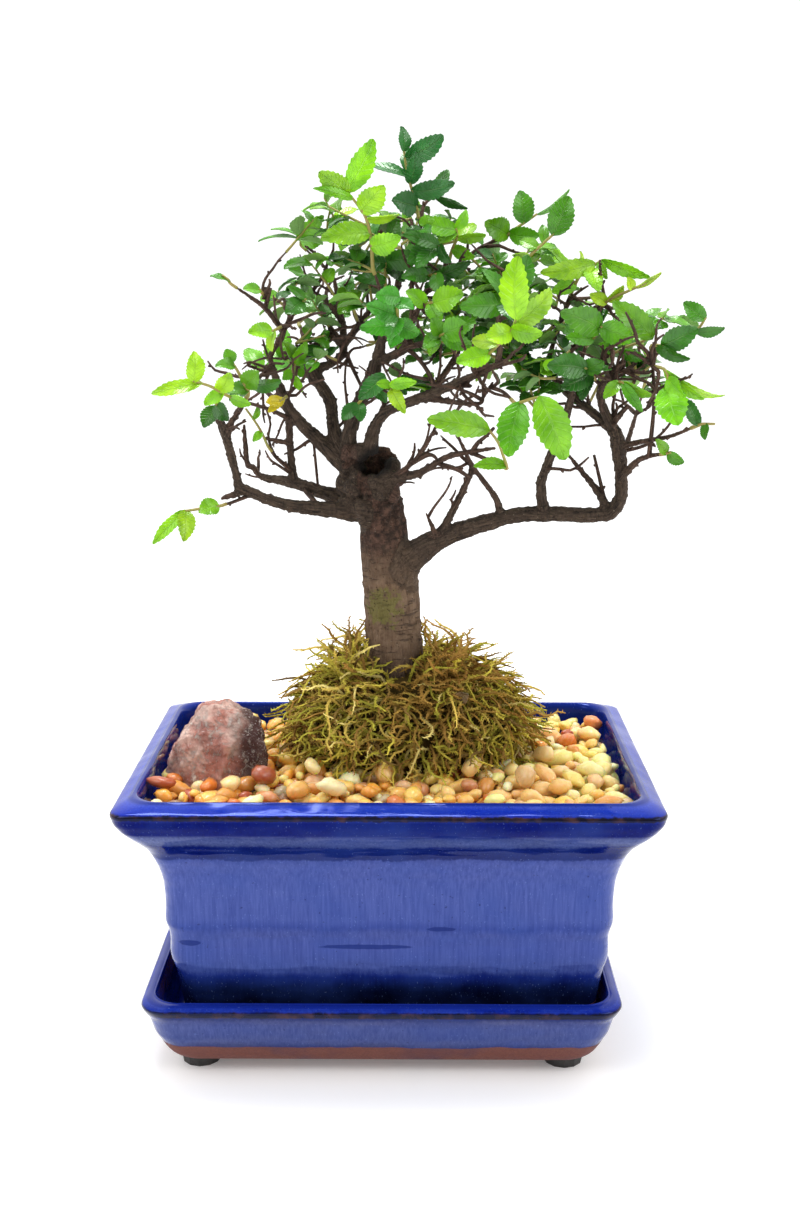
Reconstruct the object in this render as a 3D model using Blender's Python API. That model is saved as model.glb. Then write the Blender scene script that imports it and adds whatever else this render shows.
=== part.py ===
"""Chinese elm bonsai growing in a glazed pot that stands on its saucer.

Lengths are in millimetres in the pot's own frame (x across, y away from the front, z up from the floor)
and are scaled to metres when a mesh is made.
"""

import math
import random

import bmesh
import bpy
from mathutils import Matrix, Quaternion, Vector
from mathutils.bvhtree import BVHTree

MM = 0.001
SHIFT_X = -8.6
GAP = 0.3

# Rim of the pot: outer half sizes, from which every ring below is set in
RIM_X = 78.8
RIM_Y = 55.7
POT_OUTSIDE = [
    (12.8, 17.6, 7), (29, 14.9, 7), (36, 13.4, 6.5), (42.5, 13.5, 6.5), (47.9, 12.2, 6.5), (53.4, 12.5, 6.5),
    (61.2, 11.9, 6.5), (67.5, 10.2, 6.5), (72.5, 7.9, 6), (78, 3.4, 5.5), (82, 0.7, 5), (85.6, 0.0, 5), (86.8, 1.0, 5),
]
POT_INSIDE = [(88.7, 5.6, 9), (86.5, 6.6, 9.5), (80, 7.2, 10), (75, 10.4, 9), (66, 16, 8), (18, 22, 8)]
POT_FOOT = (7.5, 9.8)
DRAIN_X = 26.0
DRAIN_RADIUS = 5.0

SAUCER_MIDDLE = (-2.3, -2.2)
SAUCER_X = 71.3
SAUCER_Y = 48.4
SAUCER_OUTSIDE = [
    (4.0, 9.2, 8), (6.2, 6.7, 8), (9.1, 5.2, 8), (11.7, 4.1, 8), (14.2, 3.1, 8), (18.7, 2.0, 8), (21.2, 0.8, 8),
    (23.5, 0.0, 8), (24.6, 1.2, 8),
]
SAUCER_INSIDE = [(24.9, 3.2, 8), (22.5, 4.2, 8), (12, 6.6, 8), (9.5, 8.4, 8)]
PAD_X = 55.2
PAD_Y = 31.0
PAD_RADIUS = 6.4
PAD_HEIGHT = 3.7

SOIL_TOP = 76.0
GRAVEL_TOP = 79.0
PEBBLE_STEP = 12.4
ROCK_CENTRE = (-53.5, -11.0)
ROCK_SIZE = (15.5, 11.5, 15.6)

MOSS_CENTRE = (6.0, 12.0)
MOSS_HOLE = (34.0, 25.0)
MOSS_RINGS = [
    (76.3, 33.4, 24.4), (80.0, 33.4, 24.4), (86.0, 37.0, 28.0), (92.0, 38.0, 29.5), (99.0, 36.0, 28.0),
    (106.0, 30.0, 24.0), (110.5, 24.0, 20.0), (113.0, 18.0, 16.5),
]
MOSS_STRANDS = 58
TRUNK_HOLE = 10.2
TRUNK_END = 50.0

# The front view that the tree is drawn in: where the eye is, and its focal length in picture units
FOCAL = 1460.0
VIEW_MIDDLE = (400.0, 603.5)
HORIZON = 278.0
EYE = Vector((6.5, -439.9, 233.2))
PITCH = math.atan((VIEW_MIDDLE[1] - HORIZON) / FOCAL)
YAW = math.atan(12.0 / FOCAL)

BLADE = 0.8
LEAF_EDGE = [(0.13, 0.64), (0.41, 1.0), (0.48, 0.80), (0.76, 0.70)]
LEAF_FOLD = 0.28
LEAF_ARCH = 0.07
LEAF_CLEAR = 0.55

# Wood: sides of the tube, then points seen from the front as (across, down, depth, radius)
WOOD = {
    "right": (7, [
        (399, 572, 7, 5.4), (412, 557, 6, 4.5), (446, 536, 5, 2.9), (508, 516.5, 3, 2.35),
        (548, 514, 2, 2.2), (601, 514.5, 0, 2.1), (615, 508, -0.5, 2), (621, 496, -1, 1.9),
        (621, 474, -2, 1.8), (618, 443, -4, 2.1), (612.6, 426, -4, 1.9)]),
    "right_back": (5, [(613, 430, -4, 1.9), (597, 416, -2, 1.7), (566, 391, 6, 1.6), (540, 362, 14, 1.1)]),
    "right_up": (4, [(612, 428, -4, 1.7), (600, 391, -10, 1.4), (624, 360, -15, 0.9)]),
    "right_stub": (4, [(611, 426, -4, 1.3), (628, 405, -10, 1)]),
    "right_short": (3, [(611, 374, -12, 0.8), (633, 369, -18, 0.7)]),
    "elbow": (4, [(620, 479, -2, 1.6), (636, 462, -8, 1.3), (649.5, 456, -12, 1.2), (663, 454, -16, 0.9)]),
    "elbow_up": (3, [(649, 457, -12, 0.9), (653.8, 404, -15, 0.75), (652, 350, -18, 0.7)]),
    "far_right": (4, [(618, 447, -4, 1.3), (645, 441, -8, 1.1), (671, 436, -14, 1), (694, 427, -20, 0.85)]),
    "riser_a": (4, [(441, 533, 5, 1.6), (471, 472, -1, 1.3), (463, 458, -1, 1), (440, 435, -1, 0.6)]),
    "riser_stub": (4, [(436, 535, 4, 1.2), (426, 513, -1, 0.6)]),
    "riser_b": (4, [
        (501, 517, 3, 1.7), (495.4, 497.5, 2, 1.4), (473, 467, -2, 1.2), (463, 447, -4, 1),
        (450, 421, -8, 0.6)]),
    "riser_c": (5, [
        (544, 514, 2, 2), (541, 489, 0, 1.7), (543, 476, -2, 1.6), (563, 425, -6, 1.5),
        (574, 388, -10, 1.1)]),
    "riser_d": (5, [(603, 515, 0, 2.3), (601.7, 497.5, 1, 1.6), (566, 452, 8, 0.7)]),
    "riser_twig": (3, [(607, 512, -1, 0.9), (594, 455, 5, 0.5)]),
    "front": (5, [
        (385, 478, 6, 2.6), (400, 477, 1, 2), (421.7, 472, -3, 1.6), (450, 456, -10, 1.3),
        (496, 448, -19, 0.8)]),
    "front_low": (4, [(441, 465, -8, 1.1), (456, 469, -7, 0.9), (470, 478, -3, 0.9)]),
    "front_bud": (3, [(472, 453, -14, 0.8), (504, 467, -24, 0.65)]),
    "front_rise": (3, [
        (471, 454, -14, 1), (477, 444, -16, 0.9), (485, 437, -19, 0.8), (494, 428, -21, 0.7)]),
    "curl": (4, [
        (390, 479, 5, 1.6), (400, 473, 0, 1.3), (413, 462, -4, 1.2), (422, 452, -7, 1.1),
        (439, 421, -14, 0.7)]),
    "curl_dead": (3, [(412, 463, -4, 1), (425, 456, -7, 1), (432, 455, -8, 0.9), (437, 459, -9, 0.5)]),
    "stump": (6, [
        (369, 452, 6, 3), (375, 427, 3, 2.4), (385, 413, 0, 2.3), (401, 405, -4, 2.1),
        (443.4, 389, -16, 1.9), (505, 362, -29, 1)]),
    "stump_low": (4, [
        (424, 398, -10, 1.3), (475, 404, -21, 1), (484, 396, -23, 0.9), (493, 382, -25, 0.8)]),
    "stump_hang": (3, [(490, 387, -24, 0.8), (503, 392, -28, 0.7), (513, 401, -32, 0.65)]),
    "stump_spur": (4, [(455, 385, -18, 1.1), (470, 386, -22, 0.8)]),
    "stump_up": (4, [(437, 392, -14, 1.1), (428, 372, -12, 0.9), (416, 356, -9, 1), (407, 349, -6, 1.2)]),
    "leader": (7, [
        (350, 458, 9, 4), (349, 437, 9, 3.5), (357.8, 407, 8, 3.3), (375, 368, 4, 3.3),
        (385, 320, -2, 1.3), (384, 303, -4, 1.1), (374, 271, -6, 0.8)]),
    "cross": (5, [(377, 360, 3, 2.1), (390, 357, 0, 1.7), (411, 347, -7, 1.4), (433, 340, -15, 0.7)]),
    "top": (4, [
        (407, 350, -6, 1.4), (412, 318, -1, 1.2), (412, 283, 4, 1.2), (424, 250, 5, 1),
        (418, 215, 5, 0.7)]),
    "top_stub": (3, [(419, 260, 5, 1), (411, 219, 9, 0.7)]),
    "top_side": (3, [(421, 226, 5, 0.8), (423, 208, 8, 0.7), (430, 198, 10, 0.65)]),
    "top_right": (4, [
        (412, 301, 2, 1.2), (432, 288, 7, 1.1), (455, 268, 12, 1), (478, 249, 15, 1), (502, 238, 17, 0.8)]),
    "mid_right": (4, [
        (497, 367, -27, 1.1), (500, 345, -22, 1.1), (498, 320, -17, 1), (499, 300, -12, 1),
        (510, 280, -8, 0.9), (523, 263, -5, 0.75)]),
    "left_tall": (7, [
        (356, 470, 9, 3.8), (337, 440, 12, 3.4), (333, 425, 14, 3), (329.6, 400, 16, 2.9),
        (315, 377, 18, 2.7), (318, 370, 18, 2.4), (342, 355, 20, 1.9), (342.6, 327, 22, 1.8),
        (334, 280, 25, 1), (328, 270, 25, 0.9), (304, 248, 23, 0.7)]),
    "tall_stub": (4, [(344, 348, 21, 1.6), (329, 327, 15, 1.5)]),
    "tall_right": (4, [(344, 345, 21, 1.5), (368, 313, 15, 1.3), (372, 301, 13, 0.9)]),
    "tall_down": (3, [(345, 352, 20, 0.9), (361, 386, 10, 0.65)]),
    "tall_left": (4, [(341, 320, 22, 1.3), (330, 305, 23, 1.1), (308, 287, 25, 0.8)]),
    "tall_low": (3, [(337, 306, 23, 0.9), (318, 322, 22, 0.8), (303, 336, 20, 0.65)]),
    "knot": (5, [(317, 382, 18, 2.9), (310, 364, 17, 2.6), (311, 350, 16, 2.2), (335, 335, 14, 0.9)]),
    "knot_left": (4, [(310, 358, 17, 1.6), (281, 352, 13, 0.8)]),
    "left": (7, [
        (360, 476, 9, 4.2), (328, 448, 12, 3.7), (313.7, 436, 11, 3.3), (289, 408, 7, 2.5),
        (271, 362, 1, 1.3), (275, 347, -1, 1.2), (296, 311, -6, 0.8)]),
    "left_far": (4, [(284, 333, -3, 1.2), (265, 308, -5, 1.1), (234, 286, -9, 0.6)]),
    "far_stub": (3, [(265, 309, -5, 0.9), (270.5, 288, -3, 0.7)]),
    "far_short": (3, [(268, 301, -4, 0.75), (262, 293, -7, 0.6)]),
    "left_in": (4, [(275, 369, 2, 1.3), (263, 374, -2, 1), (255, 382, -6, 0.8)]),
    "lime_feed": (3, [(290, 419, 9, 1), (268, 409, -3, 0.8), (238, 400, -25, 0.65)]),
    "low": (7, [
        (366, 511, 7, 3.6), (344, 511, 4, 2.8), (283, 504, -5, 1.9), (241, 487, -11, 1.6),
        (237, 478, -11, 1.3), (224, 431, -13.5, 1.5), (213, 411, -15, 0.7)]),
    "low_fork": (4, [
        (226, 439, -13, 1.5), (232, 421, -15, 1.3), (241, 409, -16, 1.1), (247, 396, -19, 0.8)]),
    "low_stub": (4, [(246, 490, -10, 1.7), (221, 499, -13, 0.9)]),
    "low_twig": (3, [(250, 495, -9, 0.8), (236, 501, -11, 0.7), (223, 505, -14, 0.65)]),
    "middle": (5, [
        (366, 499, 8, 3.0), (342, 498, 10, 2.6), (293, 482.7, 15, 2), (262.7, 477, 18, 1.3),
        (254, 468, 18, 1.1), (247, 462, 17, 1.1), (244, 424, 17, 0.7)]),
    "middle_up": (4, [(294, 485, 15, 1.7), (291, 456, 14, 1.35), (288, 408, 7, 1.4)]),
    "middle_in": (3, [(291, 470, 14, 1), (277, 458, 12, 0.8), (270, 449, 10, 0.6)]),
    "middle_spur": (4, [(290, 443, 12, 1.2), (262, 438, 12, 0.7)]),
    "middle_tie": (4, [(303, 487, 14, 1.1), (320, 508, 2, 1)]),
    "thin": (3, [(314, 445, 11, 0.5), (318.5, 492, 12.5, 0.5)]),
    "shade_a": (4, [(383, 325, -1, 1.3), (398, 288, 18, 1), (402, 272, 24, 0.8)]),
    "shade_b": (4, [(545, 368, 12, 1.2), (560, 325, 9, 0.8)]),
    "shade_c": (4, [(313, 366, 17, 1.6), (305, 345, 26, 1.2), (300, 325, 33, 0.8)]),
    "shade_d": (4, [(432, 394, -12, 1.4), (458, 352, 17, 1.1), (468, 330, 27, 0.8)]),
    "shade_e": (4, [(620, 462, -3, 1.4), (628, 440, 8, 1.2), (642, 395, 24, 0.8)]),
    "shade_f": (4, [(291, 411, 8, 1.5), (270, 395, 20, 1.2), (255, 378, 29, 0.8)]),
}


BURRS = [
    (353, 507, 6, 4.6), (350, 484, 9, 4.6), (384, 462, 5, 4.2), (388, 480, 4, 3.6), (404, 566, 6, 4.6),
]

# Leafy shoots: colour, wood it grows on, stem as (across, down, depth), then leaves as
# (place along the stem, tip across, tip down, tip nearer or farther, half width, roll), and how many more leaves
SHOOTS = {
    "top": ("dark", "top", [(418, 214, 5), (412, 190, 4), (407, 172, 3), (404, 151, 2)], [
        (1.0, 402, 126, 0, 2.2, 30), (0.9, 444, 136, 0, 3.4, 25), (0.6, 364, 165, 4, 2.3, 50),
        (0.5, 415, 152, -6, 2.6, 10), (0.38, 455, 183, -5, 2.9, 20), (0.12, 388, 201, -4, 3.9, 5)], 1),
    "top_left": ("lime", "leader", [(374, 270, -6), (371, 240, -9), (366, 218, -11), (357, 204, -12), (347, 192, -12)], [
        (1.0, 373, 139, 2, 3.6, 10), (0.97, 320, 162, 0, 3.7, 8), (0.9, 309, 190, -4, 1.6, 30),
        (0.72, 384, 186, -3, 3.8, 5), (0.62, 400, 216, 3, 1.7, 40), (0.7, 301, 231, -3, 2.9, 20),
        (0.45, 321, 238, -5, 3.4, 10), (0.3, 400, 237, -6, 3.3, 10)], 1),
    "top_left_low": ("dark", "leader", [(386, 290, 1), (385, 275, 4), (386, 258, 6), (387, 240, 8)], [
        (0.95, 397, 218, 2, 2.8, 20), (0.55, 343, 262, -4, 3.3, 15), (0.6, 421, 256, -4, 3.4, 20),
        (0.2, 354, 279, -4, 2.2, 25)], 2),
    "left_fan": ("mid", "left_tall", [(304, 248, 23), (301, 242, 23), (297, 236, 22)], [
        (1.0, 271, 228, 0, 1.5, 75), (0.7, 258, 238, -2, 1.7, 70), (0.9, 326, 212, -3, 2.7, 20),
        (0.5, 322, 240, -5, 2.3, 20)], 1),
    "left_arrow": ("mid", "tall_left", [(307, 286, 25), (305, 280, 25), (303, 274, 25)], [
        (1.0, 289, 269, -2, 2.0, 50), (0.9, 321, 271, -2, 2.0, 50), (0.4, 282, 286, 1, 1.4, 75),
        (0.3, 324, 303, -4, 2.2, 20)], 0),
    "far_tip": ("dark", "left_far", [(233, 285, -9), (228, 280, -10), (222, 275, -10)], [
        (0.35, 210, 276, -2, 1.7, 70)], 0),
    "far_pair": ("mid", "far_short", [(261, 292, -7), (258, 289, -8)], [
        (0.6, 243, 289, -3, 2.0, 40), (1.0, 252, 280, -2, 1.9, 40)], 0),
    "left_pair": ("lime", "left", [(279, 328, -8), (275, 330, -10), (271, 332, -11)], [
        (0.9, 248, 332, -3, 2.4, 20), (0.7, 264, 350, -3, 2.2, 15)], 0),
    "left_dark": ("dark", "left", [(297, 309, -6), (301, 303, -7), (306, 299, -8)], [
        (0.7, 286, 314, -5, 2.8, 10), (0.9, 282, 292, 0, 1.5, 30), (0.6, 315, 312, -3, 2.4, 15)], 1),
    "left_lime": ("lime", "lime_feed", [(237, 400, -26), (224, 394, -31), (212, 387, -35), (200, 383, -37),
                                        (192, 381, -38)], [
        (0.97, 195, 351, 0, 2.8, 10), (1.0, 180, 357, 3, 1.8, 40), (0.85, 148, 390, -4, 2.4, 35),
        (0.5, 230, 373, -3, 2.6, 20), (0.6, 194, 371, -5, 2.3, 30), (0.4, 204, 404, -2, 2.2, 40),
        (0.2, 250, 405, -3, 1.7, 40)], 0),
    "left_lime_up": ("mid", "low_fork", [(248, 394, -19), (243, 381, -22), (237, 370, -23), (232, 362, -23)], [
        (1.0, 226, 349, 0, 1.9, 20), (0.9, 213, 368, -4, 1.9, 30),
        (0.35, 259, 371, -4, 3.0, 10), (0.15, 222, 397, -3, 2.6, 20)], 0),
    "left_shade": ("dark", "left_in", [(254, 383, -7), (250, 388, -10), (245, 392, -13)], [
        (0.2, 281, 379, -5, 2.7, 20), (0.6, 229, 387, -2, 2.2, 30), (0.9, 264, 399, -5, 2.4, 20),
        (1.0, 231, 405, -4, 2.3, 30)], 1),
    "left_under": ("dark", "low", [(219, 411, -18), (217, 407, -21), (216, 403, -23)], [
        (0.4, 204, 428, -3, 2.7, 10), (0.8, 228, 420, -3, 2.4, 15)], 0),
    "low_tip": ("lime", "low_twig", [(222, 505, -14), (205, 508, -16), (192, 510, -18), (184, 511, -18)], [
        (0.1, 199, 512, -3, 2.9, 5), (1.0, 152, 544, -3, 2.0, 15), (0.97, 176, 547, -4, 3.1, 10)], 0),
    "thin_lime": ("lime", "middle_in", [(269, 448, 10), (262, 433, 8), (254, 420, 5), (246, 409, 1)], [
        (0.35, 253, 441, -2, 1.3, 20), (0.7, 258, 405, -2, 1.2, 30)], 0),
    "yellow": ("lime", "left", [(286, 397, -1), (283, 399, -5), (280, 401, -8)], [
        (0.9, 266, 403, -2, 2.0, 10), (0.5, 268, 411, -5, 1.6, 20)], 0),
    "hanging": ("lime", "knot_left", [(297, 359, 10), (293, 368, 6), (292, 376, 4), (294, 384, 2)], [
        (0.1, 283, 341, -2, 2.1, 20), (0.25, 307, 343, -3, 2.1, 20), (0.6, 281, 381, -3, 1.9, 15),
        (0.75, 308, 389, -3, 2.0, 15), (1.0, 293, 409, -2, 1.6, 20)], 0),
    "inner_left": ("mid", "tall_right", [(357, 319, 13), (354, 310, 10), (350, 300, 8), (346, 291, 7)], [
        (1.0, 337, 299, -2, 2.2, 10), (0.6, 338, 314, -3, 2.3, 20), (0.8, 361, 291, -2, 2.0, 20),
        (1.0, 345, 274, 0, 2.2, 20)], 1),
    "gloss": ("lime", "cross", [(402, 340, -14), (400, 331, -24), (398, 318, -31), (397, 306, -34), (399, 297, -35)], [
        (1.0, 376, 295, -3, 2.7, 15), (0.95, 421, 297, -3, 2.6, 15), (0.75, 367, 305, -5, 3.2, 10),
        (0.5, 360, 328, -3, 2.8, 15), (0.45, 390, 345, -5, 2.8, 10), (0.6, 420, 334, -3, 2.9, 15)], 1),
    "blue_leaf": ("dark", "leader", [(355, 408, -1), (363, 398, -6), (374, 386, -8), (384, 375, -9)], [
        (1.0, 359, 400, -4, 2.9, 10), (0.75, 386, 402, -3, 2.0, 20), (0.1, 342, 420, -2, 2.3, 15),
        (0.2, 361, 421, -3, 2.2, 15)], 0),
    "bent": ("lime", "stump", [(394, 396, -9), (392, 390, -13), (390, 385, -15)], [
        (1.0, 417, 382, -3, 1.8, 20), (0.9, 376, 381, -2, 1.7, 20), (0.7, 411, 412, -6, 2.3, 15)], 0),
    "crown_mid": ("dark", "top", [(430, 249, 0), (435, 247, -4), (440, 246, -8)], [
        (0.9, 403, 234, -4, 2.3, 20), (0.3, 407, 263, -6, 2.8, 15), (1.0, 452, 262, -3, 2.2, 30)], 1),
    "crown_lime": ("lime", "top_right", [(449, 262, 4), (452, 250, -1), (457, 238, -4), (456, 228, -5)], [
        (1.0, 467, 210, 0, 1.9, 30), (0.95, 418, 221, -3, 3.1, 10), (0.8, 486, 235, 2, 1.8, 35),
        (0.5, 474, 258, -3, 2.2, 20), (0.9, 438, 241, -4, 2.5, 15)], 1),
    "arch": ("dark", "top_side", [(431, 197, 10), (436, 195, 10)], [
        (0.7, 468, 208, -1, 1.8, 50), (1.0, 474, 195, 3, 1.5, 50), (0.4, 449, 169, 3, 2.0, 20)], 1),
    "crown_dark": ("dark", "top", [(424, 277, 0), (431, 275, -5), (437, 274, -8)], [
        (0.7, 471, 261, -5, 2.1, 25), (0.9, 441, 293, -5, 2.4, 20), (0.4, 402, 277, -6, 2.6, 20)], 2),
    "right_top": ("mid", "top_right", [(503, 237, 17), (515, 229, 17), (527, 221, 17), (537, 214, 17)], [
        (0.62, 521, 190, 0, 3.5, 5), (1.0, 569, 189, 4, 1.3, 60), (0.2, 540, 236, -5, 2.8, 10),
        (0.12, 485, 211, -3, 4.2, 5), (0.1, 482, 250, -3, 1.3, 50)], 0),
    "right_top_b": ("mid", "mid_right", [(524, 262, -5), (536, 250, -5), (547, 240, -5), (557, 231, -5)], [
        (0.88, 569, 196, 0, 3.8, 8), (0.45, 520, 240, 4, 2.0, 30),
        (0.6, 543, 225, 4, 1.6, 20)], 0),
    "front_lime": ("lime", "stump", [(477, 366, -28), (487, 356, -32), (498, 345, -36), (510, 333, -40), (516, 319, -43)], [
        (1.0, 519, 256, 0, 4.0, 8), (0.8, 486, 339, -3, 3.2, 15), (0.3, 456, 362, -3, 3.0, 15),
        (0.92, 559, 288, 3, 3.7, 20), (0.85, 546, 332, -3, 3.0, 15), (0.5, 472, 343, 4, 2.4, 30)], 0),
    "front_shade": ("dark", "mid_right", [(505, 309, -17), (508, 300, -21), (513, 290, -23)], [
        (1.0, 528, 255, -3, 3.6, 15), (0.2, 459, 306, -5, 3.6, 15), (0.6, 483, 268, 2, 2.4, 30)], 3),
    "round_lime": ("lime", "top", [(422, 307, -8), (428, 304, -13), (434, 302, -16)], [
        (1.0, 463, 293, -3, 3.7, 5), (0.4, 406, 291, -3, 2.6, 20), (0.7, 440, 325, -3, 2.4, 15)], 1),
    "round_mid": ("mid", "cross", [(434, 340, -16), (440, 336, -20), (445, 333, -22)], [
        (1.0, 468, 325, -3, 3.6, 5), (0.6, 432, 318, -2, 2.3, 15), (0.8, 474, 349, -3, 2.8, 15),
        (0.3, 430, 356, -3, 2.0, 20)], 3),
    "pair_front": ("mid", "stump_hang", [(514, 402, -33), (522, 402, -36), (531, 399, -39), (540, 397, -41)], [
        (0.3, 508, 457, -3, 4.4, 5), (1.0, 565, 460, -3, 4.9, 5)], 0),
    "bud": ("lime", "front_bud", [(505, 467, -25), (503, 455, -29), (498, 442, -32), (489, 430, -35)], [
        (1.0, 427, 419, -3, 3.7, 10), (0.12, 474, 466, -3, 1.9, 15)], 0),
    "right_big": ("mid", "right_back", [(588, 345, -8), (594, 338, -13), (599, 331, -17), (602, 326, -19)], [
        (0.85, 561, 312, -8, 4.2, 5), (0.95, 632, 341, -3, 3.5, 10), (0.4, 566, 337, -3, 2.4, 15)], 0),
    "right_long": ("mid", "right_up", [(609, 356, -13), (624, 348, -13), (640, 342, -14), (652, 338, -15)], [
        (1.0, 613, 302, -3, 3.6, 10), (0.25, 646, 361, -4, 2.0, 25), (0.1, 598, 344, -2, 1.8, 30)], 0),
    "right_tip": ("dark", "elbow_up", [(653, 349, -18), (668, 346, -19), (686, 341, -20), (699, 328, -20), (706, 317, -20)], [
        (0.2, 698, 329, -4, 3.4, 10), (0.97, 684, 302, 0, 2.5, 10), (0.75, 725, 328, 0, 1.7, 15),
        (0.1, 697, 357, -2, 2.0, 20)], 0),
    "right_yellow": ("lime", "right_back", [(603, 306, -3), (610, 299, -6), (626, 292, -8), (646, 283, -9)], [
        (0.2, 624, 286, -2, 1.9, 30), (0.72, 628, 277, -1, 1.5, 20), (0.8, 661, 272, 0, 1.2, 55),
        (0.1, 590, 294, -2, 1.9, 20)], 0),
    "right_lime": ("lime", "shade_b", [(572, 292, 4), (579, 277, 0), (589, 268, -3), (602, 260, -4)], [
        (0.85, 540, 272, -4, 2.9, 15), (1.0, 650, 277, -3, 2.0, 25), (0.95, 607, 279, -2, 1.6, 15),
        (0.3, 547, 244, 3, 1.7, 50), (0.5, 580, 251, 2, 1.5, 50), (0.2, 552, 292, -3, 2.4, 15)], 1),
    "right_droop": ("lime", "elbow_up", [(656, 367, -20), (664, 369, -22), (668, 378, -23), (666, 388, -23)], [
        (0.4, 704, 400, -1, 1.9, 25), (0.3, 728, 408, 1, 1.9, 25), (0.7, 684, 397, -4, 2.6, 15),
        (1.0, 680, 428, -3, 4.9, 5)], 0),
    "right_end": ("dark", "far_right", [(695, 427, -20), (703, 424, -21), (715, 424, -21)], [
        (0.2, 681, 396, 1, 2.3, 25), (0.55, 705, 440, -1, 1.4, 10)], 0),
    "right_low": ("mid", "elbow", [(664, 454, -16), (668, 453, -17), (671, 452, -18)], [
        (0.6, 684, 463, -1, 1.9, 20), (0.3, 657, 436, -2, 1.8, 20)], 0),
    "right_mid": ("mid", "right_up", [(616, 383, -15), (620, 382, -19), (624, 383, -21)], [
        (0.8, 655, 397, -2, 2.1, 35), (0.5, 604, 398, -3, 2.0, 20), (0.9, 642, 412, -2, 1.7, 20)], 0),
    "right_mass": ("dark", "right_up", [(594, 378, -14), (590, 372, -18), (585, 368, -21)], [
        (0.9, 547, 366, -3, 3.7, 10), (0.5, 562, 388, -3, 3.2, 10), (0.8, 602, 352, -3, 3.0, 15)], 3),
    "back_top": ("mid", "shade_a", [(403, 271, 25), (406, 250, 29), (414, 232, 33), (420, 214, 36)], [], 8),
    "back_middle": ("dark", "shade_d", [(469, 328, 28), (478, 306, 32), (490, 286, 35), (500, 268, 37)], [], 8),
    "back_right": ("mid", "shade_e", [(643, 393, 25), (647, 370, 29), (644, 348, 32), (638, 330, 34)], [], 7),
    "back_left": ("dark", "shade_c", [(300, 323, 34), (314, 312, 37), (330, 303, 39), (348, 296, 40)], [], 7),
    "back_low": ("mid", "shade_f", [(254, 377, 30), (264, 367, 33), (277, 361, 35), (290, 358, 36)], [], 6),
}

SHOOT_TINTS = {"lime": (0.36, 0.62, 0.07), "mid": (0.13, 0.38, 0.05), "dark": (0.04, 0.17, 0.04)}


def seen(across, down, depth):
    """The point at this depth behind the pot's middle that the front view shows there."""
    forward = Vector((-math.sin(YAW) * math.cos(PITCH), math.cos(YAW) * math.cos(PITCH), -math.sin(PITCH)))
    right = Vector((math.cos(YAW), math.sin(YAW), 0.0))
    up = right.cross(forward)
    ray = forward + right * ((across - VIEW_MIDDLE[0]) / FOCAL) + up * ((VIEW_MIDDLE[1] - down) / FOCAL)
    return EYE + ray * ((depth - EYE.y) / ray.y)


def tube_rings(path, radii, sides):
    """Rings of points across a path, turned as little as possible from one to the next."""
    steps = [(b - a).normalized() for a, b in zip(path, path[1:])]
    ways = [steps[0]] + [(a + b).normalized() for a, b in zip(steps, steps[1:])] + [steps[-1]]
    side = ways[0].orthogonal().normalized()
    rings = []
    for i, (point, way) in enumerate(zip(path, ways)):
        if i:
            side = ways[i - 1].rotation_difference(way) @ side
        other = way.cross(side)
        turns = [2 * math.pi * k / sides for k in range(sides)]
        reach = radii[i] / math.sqrt(math.cos(math.pi / sides))
        rings.append([point + (side * math.cos(t) + other * math.sin(t)) * reach for t in turns])
    return rings


def loft(bm, rings):
    """One closed solid through rings of equal counts, by extruding a capped circle from each to the next."""
    ring = bmesh.ops.create_circle(bm, cap_ends=True, radius=1.0, segments=len(rings[0]))["verts"]
    face = ring[0].link_faces[0]
    for vert, point in zip(ring, rings[0]):
        vert.co = point
    for i, points in enumerate(rings[1:]):
        made = bmesh.ops.extrude_face_region(bm, geom=[face])["geom"]
        if i > 0:
            bmesh.ops.delete(bm, geom=[face], context="FACES_ONLY")
        fresh = {item for item in made if isinstance(item, bmesh.types.BMVert)}
        face = next(item for item in made if isinstance(item, bmesh.types.BMFace))
        ring = [next(e.other_vert(v) for e in v.link_edges if e.other_vert(v) in fresh) for v in ring]
        for vert, point in zip(ring, points):
            vert.co = point
    bmesh.ops.recalc_face_normals(bm, faces=bm.faces[:])


def box_ring(half_x, half_y, corner, z, middle=(0.0, 0.0)):
    """A rounded rectangle of twelve points, anticlockwise."""
    points = []
    for k, (sx, sy) in enumerate(((1, 1), (-1, 1), (-1, -1), (1, -1))):
        for step in range(3):
            turn = math.radians(90 * k + 45 * step)
            x = sx * (half_x - corner) + corner * math.cos(turn)
            y = sy * (half_y - corner) + corner * math.sin(turn)
            points.append(Vector((middle[0] + x, middle[1] + y, z)))
    return points


def oval_ring(half_x, half_y, z, sides, middle):
    turns = [2 * math.pi * k / sides for k in range(sides)]
    return [Vector((middle[0] + half_x * math.cos(t), middle[1] + half_y * math.sin(t), z)) for t in turns]


def mesh_of(name, bm):
    """The finished mesh, in metres and in the object's own frame."""
    bm.transform(Matrix.Scale(MM, 4) @ Matrix.Translation((SHIFT_X, 0.0, 0.0)))
    mesh = bpy.data.meshes.new(name)
    bm.to_mesh(mesh)
    bm.free()
    return mesh


def loft_mesh(name, rings):
    bm = bmesh.new()
    loft(bm, rings)
    return mesh_of(name, bm)


def add_object(name, mesh, material, collection):
    obj = bpy.data.objects.new(name, mesh)
    collection.objects.link(obj)
    obj.data.materials.clear()
    obj.data.materials.append(material)
    return obj


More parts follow.
